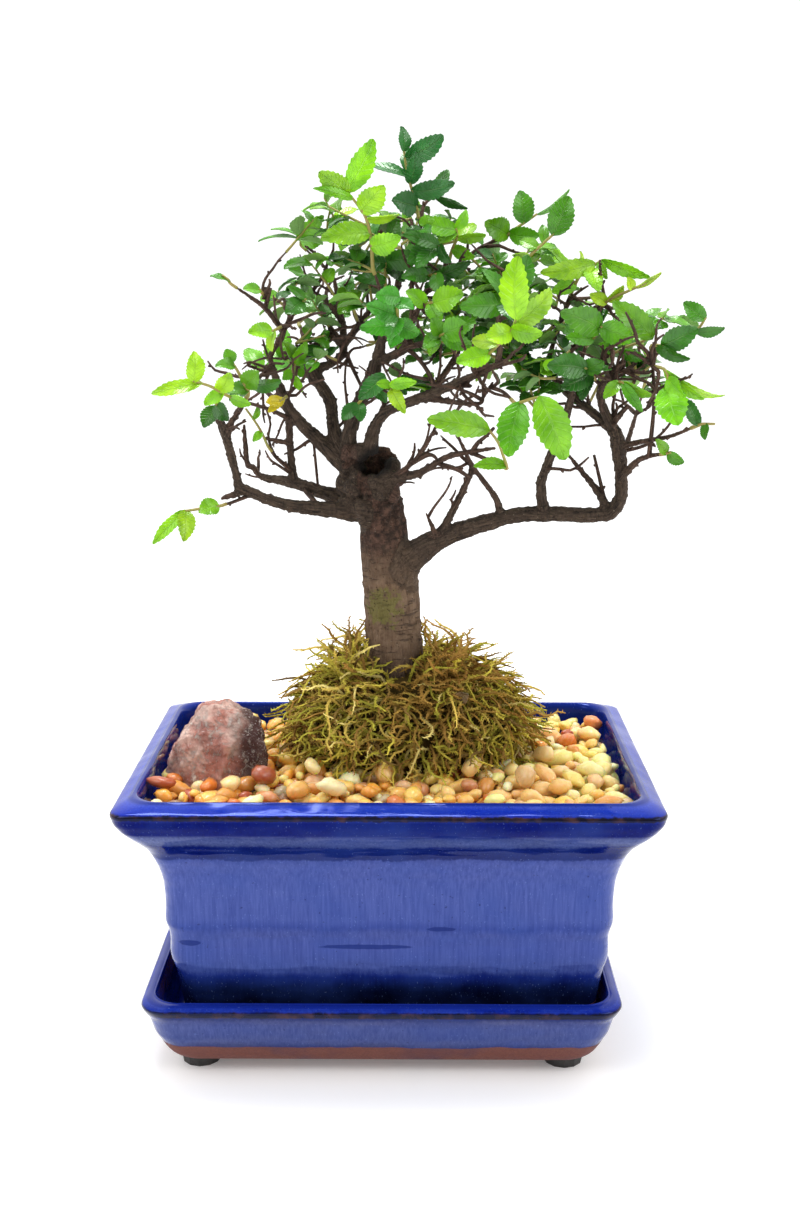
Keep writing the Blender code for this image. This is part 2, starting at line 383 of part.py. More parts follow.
def apply_boolean(obj, meshes, operation):
    """Joins the meshes to the object, or cuts them from it, in one step."""
    extras = bpy.data.collections.new(obj.name + "_extras")
    bpy.context.scene.collection.children.link(extras)
    for i, mesh in enumerate(meshes):
        extras.objects.link(bpy.data.objects.new(f"{obj.name}_extra_{i}", mesh))
    boolean = obj.modifiers.new("boolean", "BOOLEAN")
    boolean.operand_type = "COLLECTION"
    boolean.collection = extras
    boolean.operation = operation
    boolean.solver = "EXACT"
    graph = bpy.context.evaluated_depsgraph_get()
    result = bpy.data.meshes.new_from_object(obj.evaluated_get(graph))
    obj.modifiers.clear()
    obj.data = result
    for extra in list(extras.objects):
        bpy.data.objects.remove(extra)
    bpy.data.collections.remove(extras)


def principled(name, colour, roughness, coat=0.0):
    material = bpy.data.materials.new(name)
    material.use_nodes = True
    shader = material.node_tree.nodes["Principled BSDF"]
    shader.inputs["Base Color"].default_value = (*colour, 1.0)
    shader.inputs["Roughness"].default_value = roughness
    shader.inputs["Coat Weight"].default_value = coat
    material.diffuse_color = (*colour, 1.0)
    return material


def inside_inset(z):
    """How far the pot's inner wall is set in from the rim's outside at a height."""
    for (high, near, _), (low, far, _) in zip(POT_INSIDE, POT_INSIDE[1:]):
        if z >= low:
            return near + (far - near) * (high - z) / (high - low)
    return POT_INSIDE[-1][1]


def pot_ring(z, inset, corner):
    return box_ring(RIM_X - inset, RIM_Y - inset, corner, z)


def saucer_ring(z, inset, corner):
    return box_ring(SAUCER_X - inset, SAUCER_Y - inset, corner, z, SAUCER_MIDDLE)


def build_holders(parts, looks):
    """Foot pads, saucer, pot and the soil in it."""
    for name, sx, sy in (("front_left", -1, -1), ("front_right", 1, -1), ("back_left", -1, 1), ("back_right", 1, 1)):
        middle = (SAUCER_MIDDLE[0] + sx * PAD_X, SAUCER_MIDDLE[1] + sy * PAD_Y)
        rings = [oval_ring(r, r, z, 12, middle) for z, r in ((0.0, PAD_RADIUS - 0.5), (PAD_HEIGHT, PAD_RADIUS))]
        add_object("pad_" + name, loft_mesh("pad", rings), looks["rubber"], parts)
    rings = [saucer_ring(*ring) for ring in SAUCER_OUTSIDE + SAUCER_INSIDE]
    add_object("saucer", loft_mesh("saucer", rings), looks["glaze"], parts)

    rings = [pot_ring(*ring) for ring in POT_OUTSIDE + POT_INSIDE]
    pot = add_object("pot", loft_mesh("pot", rings), looks["glaze"], parts)
    radius, foot_z = POT_FOOT
    reach_x = RIM_X - POT_OUTSIDE[0][1] - radius - 3.0
    reach_y = RIM_Y - POT_OUTSIDE[0][1] - radius - 3.0
    feet = []
    for sx, sy in ((-1, -1), (1, -1), (-1, 1), (1, 1)):
        middle = (sx * reach_x, sy * reach_y)
        rings = [oval_ring(r, r, z, 8, middle) for z, r in ((foot_z, radius - 1.0), (15.0, radius))]
        feet.append(loft_mesh("foot", rings))
    apply_boolean(pot, feet, "UNION")
    drains = [
        loft_mesh("drain", [oval_ring(DRAIN_RADIUS, DRAIN_RADIUS, z, 8, (x, 0.0)) for z in (8.0, 24.0)])
        for x in (-DRAIN_X, DRAIN_X)
    ]
    apply_boolean(pot, drains, "DIFFERENCE")

    levels = [SOIL_TOP] + [ring[0] for ring in POT_INSIDE if ring[0] < SOIL_TOP]
    levels[-1] += GAP
    rings = [pot_ring(z, inside_inset(z) + 0.4, 8) for z in levels]
    soil = add_object("soil", loft_mesh("soil", rings), looks["soil"], parts)
    trunk_x, trunk_y = ROOT.x, ROOT.y
    hole = [oval_ring(TRUNK_HOLE, TRUNK_HOLE, z, 12, (trunk_x, trunk_y)) for z in (TRUNK_END - GAP, 80.0)]
    apply_boolean(soil, [loft_mesh("hole", hole)], "DIFFERENCE")


def on_rock(x, y, margin):
    return math.hypot((x - ROCK_CENTRE[0]) / (ROCK_SIZE[0] + margin), (y - ROCK_CENTRE[1]) / (ROCK_SIZE[1] + margin)) < 1


def pebble_spots():
    """Places on the gravel, in staggered rows with a seeded wander, clear of the moss, the rock and the wall."""
    wander = random.Random(7)
    half_x = RIM_X - inside_inset(GRAVEL_TOP) - 7.6
    half_y = RIM_Y - inside_inset(GRAVEL_TOP) - 7.6
    spots = []
    rows = int(2 * half_y / (PEBBLE_STEP * 0.9)) + 1
    for row in range(rows):
        y = -half_y + 2 * half_y * row / (rows - 1)
        across = int(2 * half_x / PEBBLE_STEP) + 1
        for k in range(across):
            x = -half_x + 2 * half_x * (k + 0.5 * (row % 2)) / across
            spot = (x + wander.uniform(-0.9, 0.9), y + wander.uniform(-0.9, 0.9), wander.uniform(5.3, 6.2))
            moss = math.hypot((spot[0] - MOSS_CENTRE[0]) / (MOSS_HOLE[0] + 5.2), (spot[1] - MOSS_CENTRE[1]) / (MOSS_HOLE[1] + 5.2))
            if moss > 1 and not on_rock(spot[0], spot[1], 4.2):
                spots.append(spot)
    return spots


def build_gravel(parts, looks):
    """A thin bed with one layer of pebbles half sunk in it, open under the moss."""
    low = pot_ring(SOIL_TOP + GAP, inside_inset(SOIL_TOP + GAP) + 0.4, 9)
    high = pot_ring(GRAVEL_TOP, inside_inset(GRAVEL_TOP) + 0.4, 10)
    bed = add_object("gravel", loft_mesh("bed", [low, high]), looks["gravel"], parts)
    hole = [oval_ring(*MOSS_HOLE, z, 20, MOSS_CENTRE) for z in (SOIL_TOP - 2.0, GRAVEL_TOP + 2.0)]
    apply_boolean(bed, [loft_mesh("hole", hole)], "DIFFERENCE")
    shape = random.Random(11)
    pebbles = []
    for x, y, size in pebble_spots():
        bm = bmesh.new()
        bmesh.ops.create_uvsphere(bm, u_segments=5, v_segments=4, radius=1.0)
        turn = Matrix.Rotation(shape.uniform(0, math.pi), 4, "Z") @ Matrix.Rotation(shape.uniform(-0.25, 0.25), 4, "X")
        form = Matrix.Diagonal((size, size * shape.uniform(0.72, 0.9), shape.uniform(2.8, 3.4), 1.0))
        bm.transform(Matrix.Translation((x, y, GRAVEL_TOP + shape.uniform(0.6, 1.3))) @ turn @ form)
        pebbles.append(mesh_of("pebble", bm))
    apply_boolean(bed, pebbles, "UNION")


def build_rock(parts, looks):
    """A rough stone: a coarse ball pushed in and out by a seeded rule, narrowed upwards and cut flat underneath."""
    rough = random.Random(5)
    bm = bmesh.new()
    bmesh.ops.create_icosphere(bm, subdivisions=2, radius=1.0)
    for vert in bm.verts:
        vert.co *= rough.uniform(0.9, 1.12)
        narrow = 1.0 - 0.34 * max(0.0, vert.co.z)
        vert.co.x = vert.co.x * narrow - 0.2 * max(0.0, vert.co.z)
        vert.co.y *= narrow
    base = GRAVEL_TOP + GAP
    size = Matrix.Diagonal((*ROCK_SIZE, 1.0))
    bm.transform(Matrix.Translation((*ROCK_CENTRE, base + 0.72 * ROCK_SIZE[2])) @ size)
    flat = bmesh.ops.bisect_plane(
        bm, geom=bm.verts[:] + bm.edges[:] + bm.faces[:], plane_co=(0, 0, base), plane_no=(0, 0, -1), clear_outer=True)
    edges = [item for item in flat["geom_cut"] if isinstance(item, bmesh.types.BMEdge)]
    bmesh.ops.contextual_create(bm, geom=edges)
    bmesh.ops.recalc_face_normals(bm, faces=bm.faces[:])
    add_object("rock", mesh_of("rock", bm), looks["rock"], parts)


def moss_reach(z):
    """Half sizes of the mound at a height."""
    for (low, x0, y0), (high, x1, y1) in zip(MOSS_RINGS, MOSS_RINGS[1:]):
        if z <= high:
            share = (z - low) / (high - low)
            return x0 + (x1 - x0) * share, y0 + (y1 - y0) * share
    return MOSS_RINGS[-1][1:]


def moss_strands():
    """Seeded strands that leave the mound, rise a little and hang over."""
    grow = random.Random(21)
    strands = []
    for k in range(MOSS_STRANDS):
        turn = 2.399963 * k + grow.uniform(-0.2, 0.2)
        height = ((k + 0.5) / MOSS_STRANDS) ** 0.8
        z = 88.0 + 23.5 * height
        half_x, half_y = moss_reach(z)
        x = MOSS_CENTRE[0] + half_x * math.cos(turn)
        y = MOSS_CENTRE[1] + half_y * math.sin(turn)
        out = Vector((math.cos(turn), math.sin(turn), 0.15 + 1.1 * height * height)).normalized()
        swing = Vector((-math.sin(turn), math.cos(turn), 0.0)) * grow.uniform(-0.8, 0.8)
        root = Vector((x, y, z)) - out * 3.0
        length = grow.uniform(8.0, 13.0)
        middle = root + (out + swing * 0.4) * (2.5 + length * 0.5)
        droop = grow.uniform(-1.3, 0.1) if height < 0.6 else grow.uniform(-0.3, 0.8)
        tip = middle + (out + swing + Vector((0, 0, droop))).normalized() * length * 0.5
        tip.z = max(tip.z, 86.0)
        middle.z = max(middle.z, 86.5)
        near_trunk = math.hypot(tip.x - ROOT.x, tip.y - ROOT.y) < 13.5 or math.hypot(middle.x - ROOT.x, middle.y - ROOT.y) < 13.5
        if not near_trunk and not on_rock(tip.x, tip.y, 2.0) and abs(tip.y) < RIM_Y - 9:
            strands.append([root, middle, tip])
    return strands


def build_moss(parts, looks):
    rough = random.Random(3)
    rings = []
    for z, half_x, half_y in MOSS_RINGS:
        ring = oval_ring(half_x, half_y, z, 18, MOSS_CENTRE)
        if z > 81:
            middle = Vector((*MOSS_CENTRE, z))
            ring = [middle + (p - middle) * rough.uniform(0.95, 1.04) for p in ring]
        rings.append(ring)
    moss = add_object("moss", loft_mesh("moss", rings), looks["moss"], parts)
    hole = [oval_ring(TRUNK_HOLE, TRUNK_HOLE, z, 12, (ROOT.x, ROOT.y)) for z in (70.0, 120.0)]
    apply_boolean(moss, [loft_mesh("hole", hole)], "DIFFERENCE")
    strands = [loft_mesh("strand", tube_rings(path, (1.1, 0.9, 0.5), 3)) for path in moss_strands()]
    apply_boolean(moss, strands, "UNION")


ROOT = Vector((1.6, 8.0, 0.0))
TRUNK = [
    (Vector((ROOT.x, ROOT.y, TRUNK_END)), 8.8), (Vector((ROOT.x, ROOT.y, 100.0)), 9.1), (seen(392, 600, 8), 8.6),
    (seen(390, 574, 8), 8.6), (seen(385.5, 550, 8), 7.7), (seen(382.5, 523, 8), 7.1), (seen(376, 490, 8), 7.3),
    (seen(368, 448, 8), 7.7),
]


def branch_paths():
    """Every woody tube as (sides, points, radii)."""
    tubes = {"trunk": (10, [point for point, _ in TRUNK], [radius for _, radius in TRUNK])}
    for name, (sides, points) in WOOD.items():
        tubes[name] = (sides, [seen(*p[:3]) for p in points], [p[3] for p in points])
    return tubes


def nearest_on(path, target):
    """The closest point to the target on a path, with its segment."""
    best = None
    for i, (a, b) in enumerate(zip(path, path[1:])):
        t = max(0.0, min(1.0, (target - a).dot(b - a) / (b - a).length_squared))
        point = a.lerp(b, t)
        if best is None or (point - target).length < (best - target).length:
            best = point
    return best


def plan_stems(tubes):
    """Each shoot's stem, and the twig that carries it where the wood doesn't already end there."""
    stems = {}
    twigs = {}
    for name, (_, parent, points, _, _) in SHOOTS.items():
        path = [seen(*p) for p in points]
        wood = tubes[parent][1]
        radius = 0.62
        end_way = (wood[-1] - wood[-2]).normalized()
        if (wood[-1] - path[0]).length < 3.0:
            start = wood[-1] + end_way * GAP
            path = [start, start + end_way * 1.0] + path[1:]
            radius = min(0.75, tubes[parent][2][-1])
        else:
            way = (path[1] - path[0]).normalized()
            end = path[0] - way * GAP
            foot = nearest_on(wood, end - way * 3.0)
            bend = end - way * min(2.5, 0.4 * (end - foot).length)
            twigs["twig_" + name] = (3, [foot, bend, end], [0.95, 0.75, radius])
        count = len(path)
        radii = [radius + (0.42 - radius) * i / (count - 1) for i in range(count)]
        stems[name] = (3, path, radii)
    return stems, twigs


def along(path, share):
    """The point at this share of a path's length, and the way the path runs there."""
    lengths = [(b - a).length for a, b in zip(path, path[1:])]
    left = share * sum(lengths)
    for a, b, length in zip(path, path[1:], lengths):
        if left <= length:
            return a.lerp(b, left / length), (b - a).normalized()
        left -= length
    return path[-1].copy(), (path[-1] - path[-2]).normalized()


def leaf_frame(root, tip, roll):
    """Directions along and across a leaf and out of its face; roll 0 turns the face to the front."""
    ahead = (tip - root).normalized()
    face = EYE - root
    face = (face - ahead * face.dot(ahead)).normalized()
    face = Quaternion(ahead, math.radians(roll)) @ face
    return ahead, face.cross(ahead), face


def leaf_points(root, tip, half_width, roll, thick, swell=1.0):
    """The blade's edge, from its foot round by the tip, and the middles of its two faces."""
    length = (tip - root).length
    ahead, side, face = leaf_frame(root, tip, roll)

    def at(share, out):
        rise = LEAF_ARCH * length * 4 * share * (1 - share) + LEAF_FOLD * half_width * abs(out)
        return root + ahead * (length * share) + side * (half_width * swell * out) + face * rise

    edge = [at(0.0, 0.0)] + [at(a, w) for a, w in LEAF_EDGE] + [at(1.0, 0.0)]
    edge += [at(a - 0.025, -w) for a, w in reversed(LEAF_EDGE)]
    middle = at(0.5, 0.0)
    return edge, middle + face * thick / 2, middle - face * thick / 2


def leaf_tree(edge, top, low):
    """A search tree of one blade, to see what it would touch."""
    count = len(edge)
    faces = [(i, (i + 1) % count, count) for i in range(count)] + [((i + 1) % count, i, count + 1) for i in range(count)]
    return BVHTree.FromPolygons([*edge, top, low], faces)


def tubes_tree(tubes):
    points = []
    faces = []
    for sides, path, radii in tubes:
        rings = tube_rings(path, [r + 0.2 for r in radii], sides)
        first = len(points)
        points += [p for ring in rings for p in ring]
        for i in range(len(rings) - 1):
            for k in range(sides):
                a = first + i * sides + k
                b = first + i * sides + (k + 1) % sides
                faces.append((a, b, b + sides, a + sides))
        faces.append(tuple(range(first, first + sides)))
        faces.append(tuple(range(len(points) - sides, len(points))))
    return BVHTree.FromPolygons(points, faces)


def plan_leaves(tubes, stems):
    """Leaves for every shoot, each turned or shortened until it clears the wood, other stems and other leaves."""
    pick = random.Random(2)
    placed = []
    leaves = {name: [] for name in stems}
    for round_two in (False, True):
        for name, (_, _, _, chosen, more) in SHOOTS.items():
            _, path, radii = stems[name]
            others = list(tubes.values()) + [stem for key, stem in stems.items() if key != name]
            around = tubes_tree(others)
            if round_two:
                wanted = more_leaves(pick, path, more)
            else:
                wanted = [explicit_leaf(path, leaf) for leaf in chosen]
            for root, tip, half_width, roll in wanted:
                leaf = clear_leaf(root, tip, half_width, roll, around, placed)
                if leaf:
                    leaves[name].append(leaf)
                    placed.append((leaf[0].lerp(leaf[1], 0.5), leaf_tree(*leaf_points(*leaf, BLADE + 2 * LEAF_CLEAR, 1.06))))
    print("leaves", len(placed), "of", sum(len(s[3]) + s[4] for s in SHOOTS.values()))
    return leaves


def explicit_leaf(path, leaf):
    share, across, down, nearer, half_width, roll = leaf
    root, _ = along(path, max(share, 0.12))
    return root, seen(across, down, root.y + nearer), half_width, roll


def more_leaves(pick, path, count):
    """Seeded leaves up the stem, alternating from side to side."""
    found = []
    for k in range(count):
        root, way = along(path, 0.25 + 0.75 * (k + 0.6) / count)
        out = way.orthogonal().normalized()
        out = Quaternion(way, math.pi * k + pick.uniform(-0.7, 0.7)) @ out
        ahead = (out + way * pick.uniform(0.3, 0.9)).normalized()
        length = pick.uniform(9.5, 14.0)
        found.append((root, root + ahead * length, length * pick.uniform(0.25, 0.3), pick.uniform(-50, 50)))
    return found


def clear_leaf(root, tip, half_width, roll, around, placed):
    """The first small change of pose that clears everything, or nothing."""
    changes = [(0, 0, 0, 1.0)]
    for size in (1, 2, 3):
        for lift in (-1, 1, 0):
            for swing in (0, 1, -1):
                for twist in (0, 1, -1):
                    changes.append((lift * size * 9, swing * size * 7, twist * size * 12, 1.0 - 0.05 * size))
    for lift, swing, twist, short in changes:
        ahead, side, face = leaf_frame(root, tip, roll)
        reach = Quaternion(face, math.radians(swing)) @ (tip - root)
        reach = Quaternion(side, math.radians(lift)) @ reach
        way = reach.normalized()
        foot = root - way * 0.35
        end = root + reach * short
        pose = (foot, end, half_width * short, roll + twist)
        edge, top, low = leaf_points(*pose, BLADE + 2 * LEAF_CLEAR, 1.06)
        tree = leaf_tree(edge, top, low)
        middle = foot.lerp(end, 0.5)
        if tree.overlap(around):
            continue
        near = [other for centre, other in placed if (centre - middle).length < 24.0]
        if any(tree.overlap(other) for other in near):
            continue
        return pose
    return None


def leaf_mesh(pose):
    """A blade with two fanned faces that meet in the toothed edge."""
    edge, top, low = leaf_points(*pose, BLADE)
    bm = bmesh.new()
    bmesh.ops.create_cone(
        bm, cap_ends=True, cap_tris=True, segments=len(edge), radius1=1.0, radius2=0.0, depth=1.0)
    rim = [v for v in bm.verts if v.co.xy.length > 0.5]
    rim.sort(key=lambda v: math.atan2(v.co.y, v.co.x))
    for vert in bm.verts:
        if vert.co.xy.length < 0.5:
            vert.co = top if vert.co.z > 0 else low
    for vert, point in zip(rim, edge):
        vert.co = point
    bmesh.ops.recalc_face_normals(bm, faces=bm.faces[:])
    return mesh_of("leaf", bm)


def build_wood(parts, looks, tubes):
    """Trunk, branches and twigs as one piece, with the cut top hollowed."""
    meshes = [loft_mesh(name, tube_rings(path, radii, sides)) for name, (sides, path, radii) in tubes.items()]
    wood = add_object("wood", meshes[0], looks["bark"], parts)
    for across, down, depth, radius in BURRS:
        bm = bmesh.new()
        bmesh.ops.create_icosphere(bm, subdivisions=1, radius=radius)
        bm.transform(Matrix.Translation(seen(across, down, depth)))
        meshes.append(mesh_of("burr", bm))
    apply_boolean(wood, meshes[1:], "UNION")
    top = TRUNK[-1][0]
    way = (TRUNK[-1][0] - TRUNK[-2][0]).normalized()
    hollow = tube_rings([top - way * 6.0, top + way * 4.0], [3.2, 5.0], 8)
    apply_boolean(wood, [loft_mesh("hollow", hollow)], "DIFFERENCE")


def build_shoots(parts, looks, stems, leaves):
    for name, (sides, path, radii) in stems.items():
        shoot = add_object("shoot_" + name, loft_mesh("stem", tube_rings(path, radii, sides)), looks[SHOOTS[name][0]], parts)
        apply_boolean(shoot, [leaf_mesh(pose) for pose in leaves[name]], "UNION")


def main():
    for obj in list(bpy.data.objects):
        bpy.data.objects.remove(obj)
    parts = bpy.data.collections.new("chinese_elm_bonsai")
    bpy.context.scene.collection.children.link(parts)
    looks = {
        "glaze": principled("cobalt_glaze", (0.01, 0.03, 0.42), 0.12, 1.0),
        "rubber": principled("foot_rubber", (0.02, 0.02, 0.02), 0.6),
        "soil": principled("potting_soil", (0.05, 0.03, 0.02), 0.95),
        "gravel": principled("pea_gravel", (0.65, 0.42, 0.2), 0.45),
        "rock": principled("rough_rock", (0.3, 0.13, 0.12), 0.7),
        "moss": principled("sheet_moss", (0.25, 0.24, 0.04), 0.9),
        "bark": principled("elm_bark", (0.13, 0.09, 0.06), 0.85),
    }
    for tint, colour in SHOOT_TINTS.items():
        looks[tint] = principled("leaf_" + tint, colour, 0.35)
    build_holders(parts, looks)
    build_gravel(parts, looks)
    build_rock(parts, looks)
    build_moss(parts, looks)
    tubes = branch_paths()
    stems, twigs = plan_stems(tubes)
    tubes.update(twigs)
    leaves = plan_leaves(tubes, stems)
    build_wood(parts, looks, tubes)
    build_shoots(parts, looks, stems, leaves)


main()
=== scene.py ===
# %% [markdown]
# # A small elm tree in a blue glazed pot
# The finished object is a young Chinese elm trained as a bonsai. It stands in a rectangular pot with a
# flared rim, on a matching saucer, with moss round the trunk, pebbles over the soil and one rough rock.
# The plain solids of the model are loaded first. Each cell then makes one piece in fine detail, in the
# same place, and gives it a finish made of shader nodes.

import math
import random

import bmesh
import bpy
import numpy as np
from mathutils import Matrix, Quaternion, Vector, noise
from mathutils.bvhtree import BVHTree
from mathutils.kdtree import KDTree


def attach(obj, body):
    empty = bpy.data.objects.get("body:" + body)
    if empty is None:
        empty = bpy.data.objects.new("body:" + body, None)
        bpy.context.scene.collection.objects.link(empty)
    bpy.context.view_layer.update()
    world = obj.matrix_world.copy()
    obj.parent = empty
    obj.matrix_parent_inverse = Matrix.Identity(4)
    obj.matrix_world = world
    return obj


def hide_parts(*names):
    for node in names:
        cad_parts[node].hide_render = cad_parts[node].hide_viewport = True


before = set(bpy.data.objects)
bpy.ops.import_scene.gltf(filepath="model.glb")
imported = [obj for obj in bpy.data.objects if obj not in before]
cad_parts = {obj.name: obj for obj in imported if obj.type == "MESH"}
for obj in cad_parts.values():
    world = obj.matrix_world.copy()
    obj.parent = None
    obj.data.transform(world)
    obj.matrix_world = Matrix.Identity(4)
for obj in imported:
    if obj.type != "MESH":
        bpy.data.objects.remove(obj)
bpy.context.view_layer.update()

# %% [markdown]
# ## Where things are
# Lengths are in millimetres in the pot's own frame: x across, y away from the front, z up from the floor. A
# finished mesh is scaled to metres and shifted a little, because the whole object is centred on the floor
# while the pot is not. The tree was drawn from the front, so its points are places in the front picture with
# a depth.

# %% Frame and front view
MM = 0.001
SHIFT_X = -8.6
FOCAL = 1460.0
VIEW_MIDDLE = (400.0, 603.5)
HORIZON = 278.0
EYE = Vector((6.5, -439.9, 233.2))
PITCH = math.atan((VIEW_MIDDLE[1] - HORIZON) / FOCAL)
YAW = math.atan(12.0 / FOCAL)
FORWARD = Vector((-math.sin(YAW) * math.cos(PITCH), math.cos(YAW) * math.cos(PITCH), -math.sin(PITCH)))
RIGHT = Vector((math.cos(YAW), math.sin(YAW), 0.0))
UP = RIGHT.cross(FORWARD)
TO_FRAME = Matrix.Scale(MM, 4) @ Matrix.Translation((SHIFT_X, 0.0, 0.0))


def seen(across, down, depth):
    """The point at this depth that the front picture shows at (across, down)."""
    ray = FORWARD + RIGHT * ((across - VIEW_MIDDLE[0]) / FOCAL) + UP * ((VIEW_MIDDLE[1] - down) / FOCAL)
    return EYE + ray * ((depth - EYE.y) / ray.y)


def pictured(point):
    """Where the front picture shows a point."""
    away = point - EYE
    ahead = away.dot(FORWARD)
    return VIEW_MIDDLE[0] + FOCAL * away.dot(RIGHT) / ahead, VIEW_MIDDLE[1] - FOCAL * away.dot(UP) / ahead

# %% [markdown]
# ## Camera
# The camera stands a little above the rim and looks slightly down, as the front picture does. Its lens
# follows from that picture's focal length, so the object fills the frame as it does there.

# %% Camera
PICTURE_HEIGHT = 1207.0
scene = bpy.context.scene
scene.view_settings.view_transform = "Standard"
camera = bpy.data.objects.new("camera", bpy.data.cameras.new("camera"))
camera.data.sensor_width = 36.0
camera.data.lens = camera.data.sensor_width * FOCAL / PICTURE_HEIGHT
camera.data.clip_start = 0.01
camera.matrix_world = Matrix.Translation(TO_FRAME @ EYE) @ Matrix((RIGHT, UP, -FORWARD)).transposed().to_4x4()
scene.collection.objects.link(camera)
scene.camera = camera
print("camera lens", round(camera.data.lens, 2), "mm at", tuple(round(v, 3) for v in camera.location))

# %% [markdown]
# ## Light and floor
# A studio picture needs soft light and white paper. The room is white above and behind and dimmer on the
# camera's side, so glaze and leaves keep deep colours. Soft panels on the left, on the right and above give
# highlights.

# %% Light and floor
PAPER_WHITE = 1.12


def soft_panel(name, place, aim, size, power):
    lamp = bpy.data.lights.new(name, "AREA")
    lamp.size = size
    lamp.energy = power
    panel = bpy.data.objects.new(name, lamp)
    panel.location = place
    panel.rotation_euler = (Vector(aim) - Vector(place)).to_track_quat("-Z", "Y").to_euler()
    scene.collection.objects.link(panel)


def set_sockets(node, **values):
    """Sets inputs by name, with _ for a space."""
    for key, value in values.items():
        node.inputs[key.replace("_", " ")].default_value = value


def remapped(tree, value, **limits):
    """The value moved from one range of numbers to another."""
    node = tree.nodes.new("ShaderNodeMapRange")
    tree.links.new(value, node.inputs["Value"])
    set_sockets(node, **limits)
    return node.outputs["Result"]


soft_panel("panel_left", (-0.65, -0.6, 0.9), (0, 0, 0.12), 0.7, 4.0)
soft_panel("panel_right", (0.75, -0.5, 0.75), (0, 0, 0.12), 0.6, 3.6)
soft_panel("panel_top", (-0.1, 0.15, 1.1), (0, 0, 0.1), 0.35, 7.0)
room = bpy.data.worlds.new("white_room")
room.use_nodes = True
sky = room.node_tree
way_out = sky.nodes.new("ShaderNodeSeparateXYZ")
sky.links.new(sky.nodes.new("ShaderNodeTexCoord").outputs["Generated"], way_out.inputs[0])
glow = sky.nodes.new("ShaderNodeMath")
glow.operation = "MULTIPLY"
to_back = remapped(sky, way_out.outputs["Y"], From_Min=-0.9, From_Max=0.35, To_Min=0.25, To_Max=PAPER_WHITE)
to_top = remapped(sky, way_out.outputs["Z"], From_Min=0.1, From_Max=0.9, To_Min=1.0, To_Max=1.4)
sky.links.new(to_back, glow.inputs[0])
sky.links.new(to_top, glow.inputs[1])
shown = sky.nodes.new("ShaderNodeMix")
sky.links.new(sky.nodes.new("ShaderNodeLightPath").outputs["Is Camera Ray"], shown.inputs[0])
sky.links.new(glow.outputs[0], shown.inputs[2])
shown.inputs[3].default_value = PAPER_WHITE
sky.links.new(shown.outputs[0], sky.nodes["Background"].inputs["Strength"])
set_sockets(sky.nodes["Background"], Color=(1.0, 1.0, 1.0, 1.0))
scene.world = room

floor_bm = bmesh.new()
bmesh.ops.create_grid(floor_bm, x_segments=1, y_segments=1, size=12.0)
floor_mesh = bpy.data.meshes.new("floor")
floor_bm.to_mesh(floor_mesh)
floor_bm.free()
floor = bpy.data.objects.new("floor", floor_mesh)
scene.collection.objects.link(floor)
paper = bpy.data.materials.new("white_paper")
paper.use_nodes = True
set_sockets(
    paper.node_tree.nodes["Principled BSDF"], Base_Color=(0.95, 0.95, 0.95, 1.0), Roughness=0.9,
    Specular_IOR_Level=0.1, Emission_Color=(1.0, 1.0, 1.0, 1.0), Emission_Strength=0.14)
floor.data.materials.append(paper)

# %% [markdown]
# ## Curves and rings
# Pots, branches and stems are all lofts, closed forms through a row of rings. A smooth path or profile runs
# through a few given points as a Catmull-Rom curve, and rings of points stand across it.

# %% Curves and rings
def smooth_line(points, steps):
    """Points on a Catmull-Rom curve through rows of numbers, so many steps to each span."""
    rows = [np.array(p, float) for p in points]
    rows = [2 * rows[0] - rows[1], *rows, 2 * rows[-1] - rows[-2]]
    line = []
    for a, b, c, d in zip(rows, rows[1:], rows[2:], rows[3:]):
        for k in range(steps):
            t = k / steps
            bend = (2 * a - 5 * b + 4 * c - d) * t**2 + (3 * b - a - 3 * c + d) * t**3
            line.append(0.5 * (2 * b + (c - a) * t + bend))
    line.append(rows[-2])
    return line


def tube_rings(path, radii, sides):
    """Rings of points across a path, turned as little as possible from one to the next."""
    steps = [(b - a).normalized() for a, b in zip(path, path[1:])]
    ways = [steps[0]] + [(a + b).normalized() for a, b in zip(steps, steps[1:])] + [steps[-1]]
    side = ways[0].orthogonal().normalized()
    rings = []
    for i, (point, way) in enumerate(zip(path, ways)):
        if i:
            side = ways[i - 1].rotation_difference(way) @ side
        other = way.cross(side)
        turns = [2 * math.pi * k / sides for k in range(sides)]
        reach = radii[i] / math.sqrt(math.cos(math.pi / sides))
        rings.append([point + (side * math.cos(t) + other * math.sin(t)) * reach for t in turns])
    return rings


def oval_ring(half_x, half_y, z, sides, middle):
    """A level oval of points round a middle."""
    turns = [2 * math.pi * k / sides for k in range(sides)]
    return [Vector((middle[0] + half_x * math.cos(t), middle[1] + half_y * math.sin(t), z)) for t in turns]

# %% [markdown]
# ## Lofts, meshes and pieces
# A loft starts as one capped circle, whose cap is extruded from ring to ring. Pieces with many repeats merge
# copies of one small mesh. A finished piece hides the plain solids it stands for.

# %% Lofts, meshes and pieces
def loft(bm, rings):
    """One closed form through rings of equal counts."""
    ring = bmesh.ops.create_circle(bm, cap_ends=True, radius=1.0, segments=len(rings[0]))["verts"]
    face = ring[0].link_faces[0]
    for vert, point in zip(ring, rings[0]):
        vert.co = point
    for i, points in enumerate(rings[1:]):
        made = bmesh.ops.extrude_face_region(bm, geom=[face])["geom"]
        if i > 0:
            bmesh.ops.delete(bm, geom=[face], context="FACES_ONLY")
        fresh = {item for item in made if isinstance(item, bmesh.types.BMVert)}
        face = next(item for item in made if isinstance(item, bmesh.types.BMFace))
        ring = [next(e.other_vert(v) for e in v.link_edges if e.other_vert(v) in fresh) for v in ring]
        for vert, point in zip(ring, points):
            vert.co = point
    bmesh.ops.recalc_face_normals(bm, faces=bm.faces[:])


